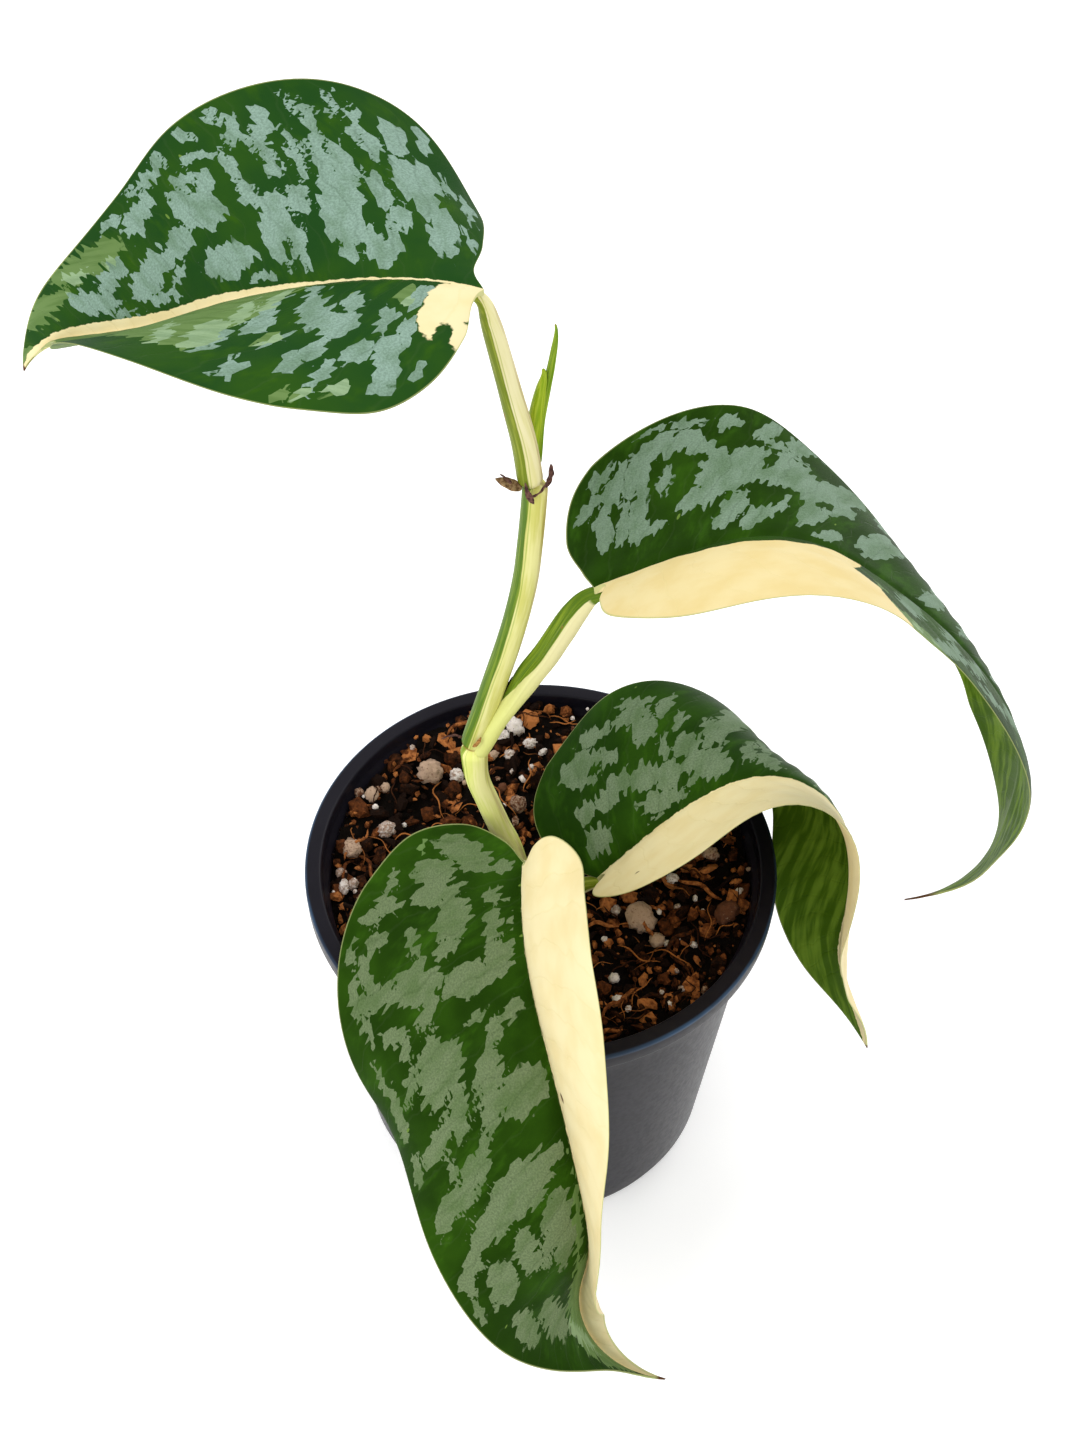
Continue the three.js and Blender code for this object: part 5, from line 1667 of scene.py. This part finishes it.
def make_crumb_finish(name, deep, light, size, orange_and_highlight=None, pits=0.0, own=0.5, rise=(0.4, 0.72)):
    """Rough matter between two colours, partly by a shade of each lump's own. It has small pits
    where pits is above zero, and where there is a third colour a few places take it: on the bark
    a bright orange that is partly its own colour and partly painted highlight."""
    material, shader, w = new_finish(name, Roughness=0.85, Specular_IOR_Level=0.1)
    place = w.place()
    shade = w.parts(w.attribute("lump"))[0]
    noise = w.noise(place, scale=1 / size, detail=4.0, roughness=0.65)
    level = w.plus(w.times(noise, 1 - own), w.times(shade, own))
    colour = w.mix(w.step(level, *rise), deep, light)
    # A third colour at random places. On the bark it is a bright orange, partly the chips' own and partly
    # painted highlight.
    if orange_and_highlight:
        colour = w.mix(w.step(level, 0.6, 0.76), colour, orange_and_highlight)
    height = noise
    if pits:
        hollow = w.step(w.cells(place, scale=2.2), 0.30, 0.12)
        spots = w.step(w.noise(place, scale=1.1, detail=2.0), 0.5, 0.6)
        hollow = w.times(hollow, spots)
        colour = w.mix(w.times(hollow, pits), colour, PIT_BROWN)
        height = w.less(noise, w.times(hollow, 0.8))
    lay(w, shader, Base_Color=colour, Normal=w.bump(height, CRUMB_RELIEF, strength=0.8))
    return material


# The body's near-black brown is partly the mix's own colour and partly painted shade in the gaps between
# the lumps.
MIX_BODY_AND_GAP_SHADE = make_crumb_finish("mix_dark_gap_shade", (0.004, 0.002, 0.001, 1), (0.030, 0.011, 0.005, 1), 1.5)
# Bark: its third colour is a bright orange, partly the chips' own and partly painted highlight.
BARK = make_crumb_finish(
    "bark_crumb", (0.009, 0.003, 0.001, 1), (0.16, 0.046, 0.012, 1), 1.2, orange_and_highlight=(0.45, 0.16, 0.045, 1)
)
PERLITE = make_crumb_finish(
    "perlite", (0.34, 0.22, 0.16, 1), (0.84, 0.76, 0.70, 1), 0.8, pits=0.9, own=0.25, rise=(0.36, 0.56)
)
TAN = make_crumb_finish(
    "tan_grain", (0.13, 0.05, 0.025, 1), (0.48, 0.33, 0.23, 1), 0.8, pits=0.8, own=0.3, rise=(0.42, 0.58)
)
FIBRE = make_crumb_finish("coir_fibre", (0.03, 0.009, 0.003, 1), (0.40, 0.14, 0.035, 1), 3.0)

# %% Make the body of the mix
BODY_DROP = 2.2
SOIL_RINGS = 110
SOIL_SIDES = 220
SOIL_WALL = [(SOIL_EDGE, 76), (41, 5), (38, 1.9)]


def add_soil(material):
    """Rings from the middle out to the wall, with small bumps of two sizes, then three rings
    down inside the pot's wall to its floor."""
    share = np.linspace(0, 1, SOIL_RINGS + 1)[1:, None]
    angle = np.linspace(0, 2 * np.pi, SOIL_SIDES, endpoint=False)[None, :]
    edge = soil_edge(np.cos(angle), np.sin(angle))
    x, y = edge * share * np.cos(angle), edge * share * np.sin(angle)
    bumps = 0.9 * lattice_noise(x / 2.6, y / 2.6, 5) + 0.5 * lattice_noise(x / 1.2, y / 1.2, 6)
    top = np.stack([x, y, soil_top(x, y) - BODY_DROP + bumps], -1)
    down = [
        np.stack([radius * np.cos(angle), radius * np.sin(angle), height + 0 * angle], -1)
        for radius, height in SOIL_WALL
    ]
    rings = np.concatenate([top, *down])
    points = with_poles(rings, [0, 0, soil_top(0, 0)], [0, 0, SOIL_WALL[-1][1]])
    piece = add_piece("mix_body", points, ring_faces(*rings.shape[:2]), None, material)
    return stand_for(piece, "potting_mix", "potting_mix")


add_soil(MIX_BODY_AND_GAP_SHADE)

# %% [markdown]
# ## Many lumps from one
# Chips, crumbs and grains are small rough blocks. A particle system could scatter copies, but
# copies of a few shapes soon look alike. So one ball of triangles is pushed in and out, squeezed
# and turned at random for every lump, and all lumps of a kind become one mesh.

# %% Many lumps from one


def unit_lump(divisions):
    """The points and triangles of a ball made of triangles, one millimetre in radius."""
    ball = bmesh.new()
    bmesh.ops.create_icosphere(ball, subdivisions=divisions, radius=1)
    points = np.array([vertex.co[:] for vertex in ball.verts])
    faces = np.array([[vertex.index for vertex in face.verts] for face in ball.faces])
    ball.free()
    return points, faces


def random_turns(random, count):
    """Turning matrices from random quaternions of unit length."""
    q = random.normal(size=(count, 4))
    w, x, y, z = (q / np.linalg.norm(q, axis=1, keepdims=True)).T
    rows = [
        [1 - 2 * (y * y + z * z), 2 * (x * y - w * z), 2 * (x * z + w * y)],
        [2 * (x * y + w * z), 1 - 2 * (x * x + z * z), 2 * (y * z - w * x)],
        [2 * (x * z - w * y), 2 * (y * z + w * x), 1 - 2 * (x * x + y * y)],
    ]
    return np.moveaxis(np.array(rows), -1, 0)


def shade_of_each(random, count, points_each):
    """One random shade for each copy, the same at all of its points."""
    shades = random.uniform(0, 1, (count, 1))
    return np.repeat(shades, points_each, axis=1)[..., None] * np.ones(3)


def add_lumps(name, places, sizes, squeeze, rough, material, seed, divisions=1, smooth=False):
    """One piece of many lumps: the ball's points times a random push, times the squeeze and the
    size, turned and moved. Each lump has one random shade."""
    random = np.random.default_rng(seed)
    ball, faces = unit_lump(divisions)
    count = len(places)
    push = 1 + rough * random.uniform(-1, 1, (count, len(ball), 1))
    stretch = random.uniform(*squeeze, (count, 1, 3))
    lumps = ball[None] * push * stretch * np.asarray(sizes)[:, None, None]
    lumps = np.einsum("nij,nvj->nvi", random_turns(random, count), lumps) + np.asarray(places)[:, None]
    shades = shade_of_each(random, count, len(ball))
    all_faces = (faces[None] + (np.arange(count) * len(ball))[:, None, None]).reshape(-1, 3)
    piece = add_piece(name, lumps, all_faces.tolist(), {"lump": shades}, material, smooth)
    return stand_for(piece, "potting_mix")


# %% Places on the mix
STALK_ROOTS = np.array([[-4.6, 3.9], [5.5, -0.8], [-2.2, -6.6]])
STALK_ROOM = 4.6
WALL_OVERLAP = 0.3


def scattered(random, sizes, lift):
    """Random places on the mix, even over its area, kept off the stalks and the wall."""
    count = len(sizes)
    x, y = np.zeros(0), np.zeros(0)
    while len(x) < count:
        radius = SOIL_EDGE * np.sqrt(random.uniform(0, 1, count))
        turn = random.uniform(0, 2 * np.pi, count)
        radius = radius * soil_edge(10 * np.cos(turn), 10 * np.sin(turn)) / SOIL_EDGE
        spots = np.stack([radius * np.cos(turn), radius * np.sin(turn)], -1)
        away = np.linalg.norm(spots[:, None] - STALK_ROOTS[None], axis=-1).min(1)
        spots = spots[away > STALK_ROOM]
        x, y = np.concatenate([x, spots[:, 0]]), np.concatenate([y, spots[:, 1]])
    x, y = x[:count], y[:count]
    kept = np.minimum(1, (soil_edge(x, y) + WALL_OVERLAP - sizes) / np.hypot(x, y))
    x, y = x * kept, y * kept
    return np.stack([x, y, soil_top(x, y) + lift], -1)


# %% [markdown]
# ## Bark, perlite and tan grains
# Bark chips and crumbs cover the mix, with white perlite and tan pumice between them. All could be
# scattered by chance, but some pale grains catch the eye. So the pale grains that the photograph
# shows lie at their own places, and the rest is scattered.

# %% The pale grains that catch the eye
# Each grain is its place on the mix and its radius, in millimetres.
PERLITE_SEEN = [
    (-37, 12.5, 2.1), (-46, -4.5, 1.6), (-44, -3.5, 1.5), (-47, 0, 1.1), (-21, 29, 1.8),
    (-40, 17.5, 0.9), (-7.5, 43, 2.2), (-3.5, 39, 1.6), (-8.5, 36, 1.3), (-10.5, 41, 1.8),
    (-5, 29.5, 0.9), (-7.5, 32, 0.9), (-3, 32.5, 0.9), (-0.5, 36.5, 1.1), (18, -7, 1.3),
    (17.5, -26, 1.3), (18.5, -31.5, 1.3), (33, -28.5, 0.9), (32, -23.5, 0.7), (28.5, -29.5, 0.7),
    (30, -33, 0.9), (31, 1, 1.3), (46.5, -2, 0.7),
]
TAN_SEEN = [
    (-27.5, 29, 2.7), (-41, 21, 2.0), (-38, 23.5, 1.3), (-45, 6.5, 2.6), (-12.5, 35.5, 1.3),
    (-6, 22, 2.0), (-10, 27, 1.1), (23.5, -10, 3.3), (43.5, -8.5, 2.8), (27.5, -15, 1.8),
    (40, 8, 2.0),
]

# %% Scatter the bark
SCATTER_SEED = 11
random = np.random.default_rng(SCATTER_SEED)
BARK_CHIPS = 1000
chip_sizes = 0.9 + 2.4 * random.uniform(0, 1, BARK_CHIPS) ** 2.0
add_lumps("bark_chips", scattered(random, chip_sizes, -0.6), chip_sizes, (0.25, 1.15), 0.3, BARK, 12)

CRUMBS = 1200
crumb_sizes = random.uniform(0.35, 0.9, CRUMBS)
add_lumps("bark_crumbs", scattered(random, crumb_sizes, -0.3), crumb_sizes, (0.4, 1.2), 0.35, BARK, 13)

# %% Lay the pale grains
SEEN_LIFT = 0.35


def with_seen(random, seen, sizes, lift):
    """The grains that the photograph shows, each at its place, and a few more at random."""
    seen = np.array(seen)
    x, y, radius = seen.T
    own = np.stack([x, y, soil_top(x, y) + SEEN_LIFT * radius], -1)
    extra = scattered(random, sizes, lift)
    return np.concatenate([own, extra]), np.concatenate([radius, sizes])


places, sizes = with_seen(random, PERLITE_SEEN, random.uniform(0.35, 0.8, 80), 0.3)
add_lumps("perlite_crumbs", places, sizes, (0.7, 1.2), 0.2, PERLITE, 14, divisions=3, smooth=True)
places, sizes = with_seen(random, TAN_SEEN, random.uniform(0.5, 1.2, 30), 0.1)
add_lumps("tan_grains", places, sizes, (0.65, 1.15), 0.2, TAN, 15, divisions=3, smooth=True)

# %% [markdown]
# ## Large pieces of bark
# The solid has a few dozen larger lumps fused into the mix, placed by a repeatable rule. New
# places would make the dressed mix depart from it. So the same rule is run once more, and a piece
# of bark lies at each of its places.

# %% Large grains of the solid
GRAINS = 46
GRAIN_RADIUS = (1.6, 4.4)
GRAIN_SEED = 7
GRAIN_LIFT = 0.1
SHAPE_DRAWS = 4
LARGE_SHARE = 0.8


def seeded(seed):
    """The model's own repeatable sequence of numbers from 0 to 1."""
    factor, step, size = 1664525, 1013904223, 2**32
    state = seed
    while True:
        state = (state * factor + step) % size
        yield state / size


def solid_grains():
    """The places and radii of the grains that stand out of the solid. The solid also draws four
    numbers for each grain's shape, which are only passed over here."""
    draw = seeded(GRAIN_SEED)
    grains = []
    for _ in range(GRAINS):
        radius = GRAIN_RADIUS[0] + (GRAIN_RADIUS[1] - GRAIN_RADIUS[0]) * next(draw) ** 2
        reach = (WALL_TOP_RADIUS - WALL - 2 - radius) * math.sqrt(next(draw))
        turn = 2 * math.pi * next(draw)
        x, y = reach * math.cos(turn), reach * math.sin(turn)
        for _ in range(SHAPE_DRAWS):
            next(draw)
        grains.append((x, y, float(soil_top(x, y)) + GRAIN_LIFT * radius, radius))
    return np.array(grains)


grains = solid_grains()
large_sizes = LARGE_SHARE * grains[:, 3]
add_lumps("large_bark", grains[:, :3], large_sizes, (0.35, 1.05), 0.3, BARK, 20, divisions=2)

# %% [markdown]
# ## Coir fibres and slivers
# Thin brown fibres of coconut husk lie on the mix, a little bent, among slivers of bark. Blender's
# hair could grow them, but the export needs a mesh. Here each strand is a mesh: a short line with
# a bow and an arch, with small rings carried along it.

# %% The paths of the strands
STRAND_STEPS = 12
STRAND_SIDES = 5
STRAND_ROOM = 4.5
STRAND_REACH = 46.5
STRAND_RUN = np.linspace(-0.5, 0.5, STRAND_STEPS)[None, :]


def strand_paths(random, count, lengths):
    """The middle lines of the strands: a line in a random direction with a sideways bow, laid on
    the mix with a rise and fall, and kept inside the wall."""
    middle = scattered(random, np.full(count, STRAND_ROOM), 0.9)
    turn = random.uniform(0, np.pi, count)[:, None]
    long = random.uniform(*lengths, count)[:, None]
    bow = random.uniform(-0.2, 0.2, count)[:, None] * long
    arch = random.uniform(0, 0.16, count)[:, None] * long
    u = long * STRAND_RUN
    hump = 1 - 4 * STRAND_RUN**2
    v = bow * hump + 0.05 * long * np.sin(9 * STRAND_RUN + 3 * bow)
    x = middle[:, :1] + u * np.cos(turn) - v * np.sin(turn)
    y = middle[:, 1:2] + u * np.sin(turn) + v * np.cos(turn)
    inside = np.minimum(1, STRAND_REACH / np.hypot(x, y))
    x, y = x * inside, y * inside
    tilt = random.uniform(-0.12, 0.12, count)[:, None] * u
    return np.stack([x, y, soil_top(x, y) + 0.5 + arch * hump + tilt], -1)


# %% Carry small rings along the paths


def add_strands(name, count, seed, lengths, thickness, material):
    """Thin bent strands lying on the mix: at each step of a path a ring of points across it,
    which grows smaller towards both ends."""
    random = np.random.default_rng(seed)
    path = strand_paths(random, count, lengths)
    tangent = np.gradient(path, axis=1)
    tangent /= np.linalg.norm(tangent, axis=-1, keepdims=True)
    across = np.cross(tangent, [0, 0, 1.0])
    across /= np.linalg.norm(across, axis=-1, keepdims=True)
    over = np.cross(across, tangent)
    angle = np.linspace(0, 2 * np.pi, STRAND_SIDES, endpoint=False)[:, None]
    radius = random.uniform(*thickness, count)[:, None] * np.sqrt(1 - 3.6 * STRAND_RUN**2)
    ring = across[..., None, :] * np.cos(angle) + over[..., None, :] * np.sin(angle)
    points = path[..., None, :] + ring * radius[..., None, None]
    each = np.concatenate([points.reshape(count, -1, 3), path[:, [0, -1]]], 1)
    single = ring_faces(STRAND_STEPS, STRAND_SIDES)
    faces = []
    for number in range(count):
        shift = number * each.shape[1]
        faces.extend([[corner + shift for corner in face] for face in single])
    shades = shade_of_each(random, count, each.shape[1])
    piece = add_piece(name, each, faces, {"lump": shades}, material)
    return stand_for(piece, "potting_mix")


add_strands("coir_fibres", 150, 31, (4, 12), (0.10, 0.22), FIBRE)
add_strands("bark_slivers", 50, 32, (5, 12), (0.35, 0.65), BARK)

# %% [markdown]
# ## The room
# The plant stands on plain white ground in soft light. A closed room with windows could be built,
# but a pale sky that gives light from everywhere is enough, with two large lamps for the sheen of
# the leaves: one high on the left in front, one behind on the right.

# %% Ground, sky and lamps
GROUND_HALF = 6000
GROUND_WHITE = (0.95, 0.95, 0.95, 1)
GROUND_GLOW = 0.33
WHITE = (1, 1, 1, 1)
SKY_STRENGTH = 1.0
LAMPS_AIM = (0, 0, 0.12)


def add_floor():
    """A large square that glows a little, so that it stays white up to the horizon."""
    far = GROUND_HALF
    corners = [(-far, -far, 0), (far, -far, 0), (far, far, 0), (-far, far, 0)]
    material, _, _ = new_finish(
        "floor", Roughness=0.9, Base_Color=GROUND_WHITE, Emission_Color=WHITE,
        Emission_Strength=GROUND_GLOW,
    )
    floor = add_piece("floor", corners, [[0, 1, 2, 3]], None, material)


def add_lamp(name, place, size, power):
    """A round lamp that looks at the plant. Place and size are in metres, power is in watts."""
    data = bpy.data.lights.new(name, "AREA")
    data.shape = "DISK"
    data.size = size
    data.energy = power
    lamp = bpy.data.objects.new(name, data)
    lamp.location = place
    lamp.rotation_euler = (Vector(LAMPS_AIM) - Vector(place)).to_track_quat("-Z", "Y").to_euler()
    bpy.context.scene.collection.objects.link(lamp)


add_floor()
world = bpy.data.worlds.new("sky")
world.use_nodes = True
sky = world.node_tree.nodes["Background"]
sky.inputs["Color"].default_value = WHITE
sky.inputs["Strength"].default_value = SKY_STRENGTH
bpy.context.scene.world = world
bpy.context.scene.view_settings.view_transform = "Standard"
add_lamp("lamp_left", (-0.55, -0.45, 0.95), 0.7, 4.0)
add_lamp("lamp_right", (0.5, 0.6, 0.8), 0.5, 2.0)
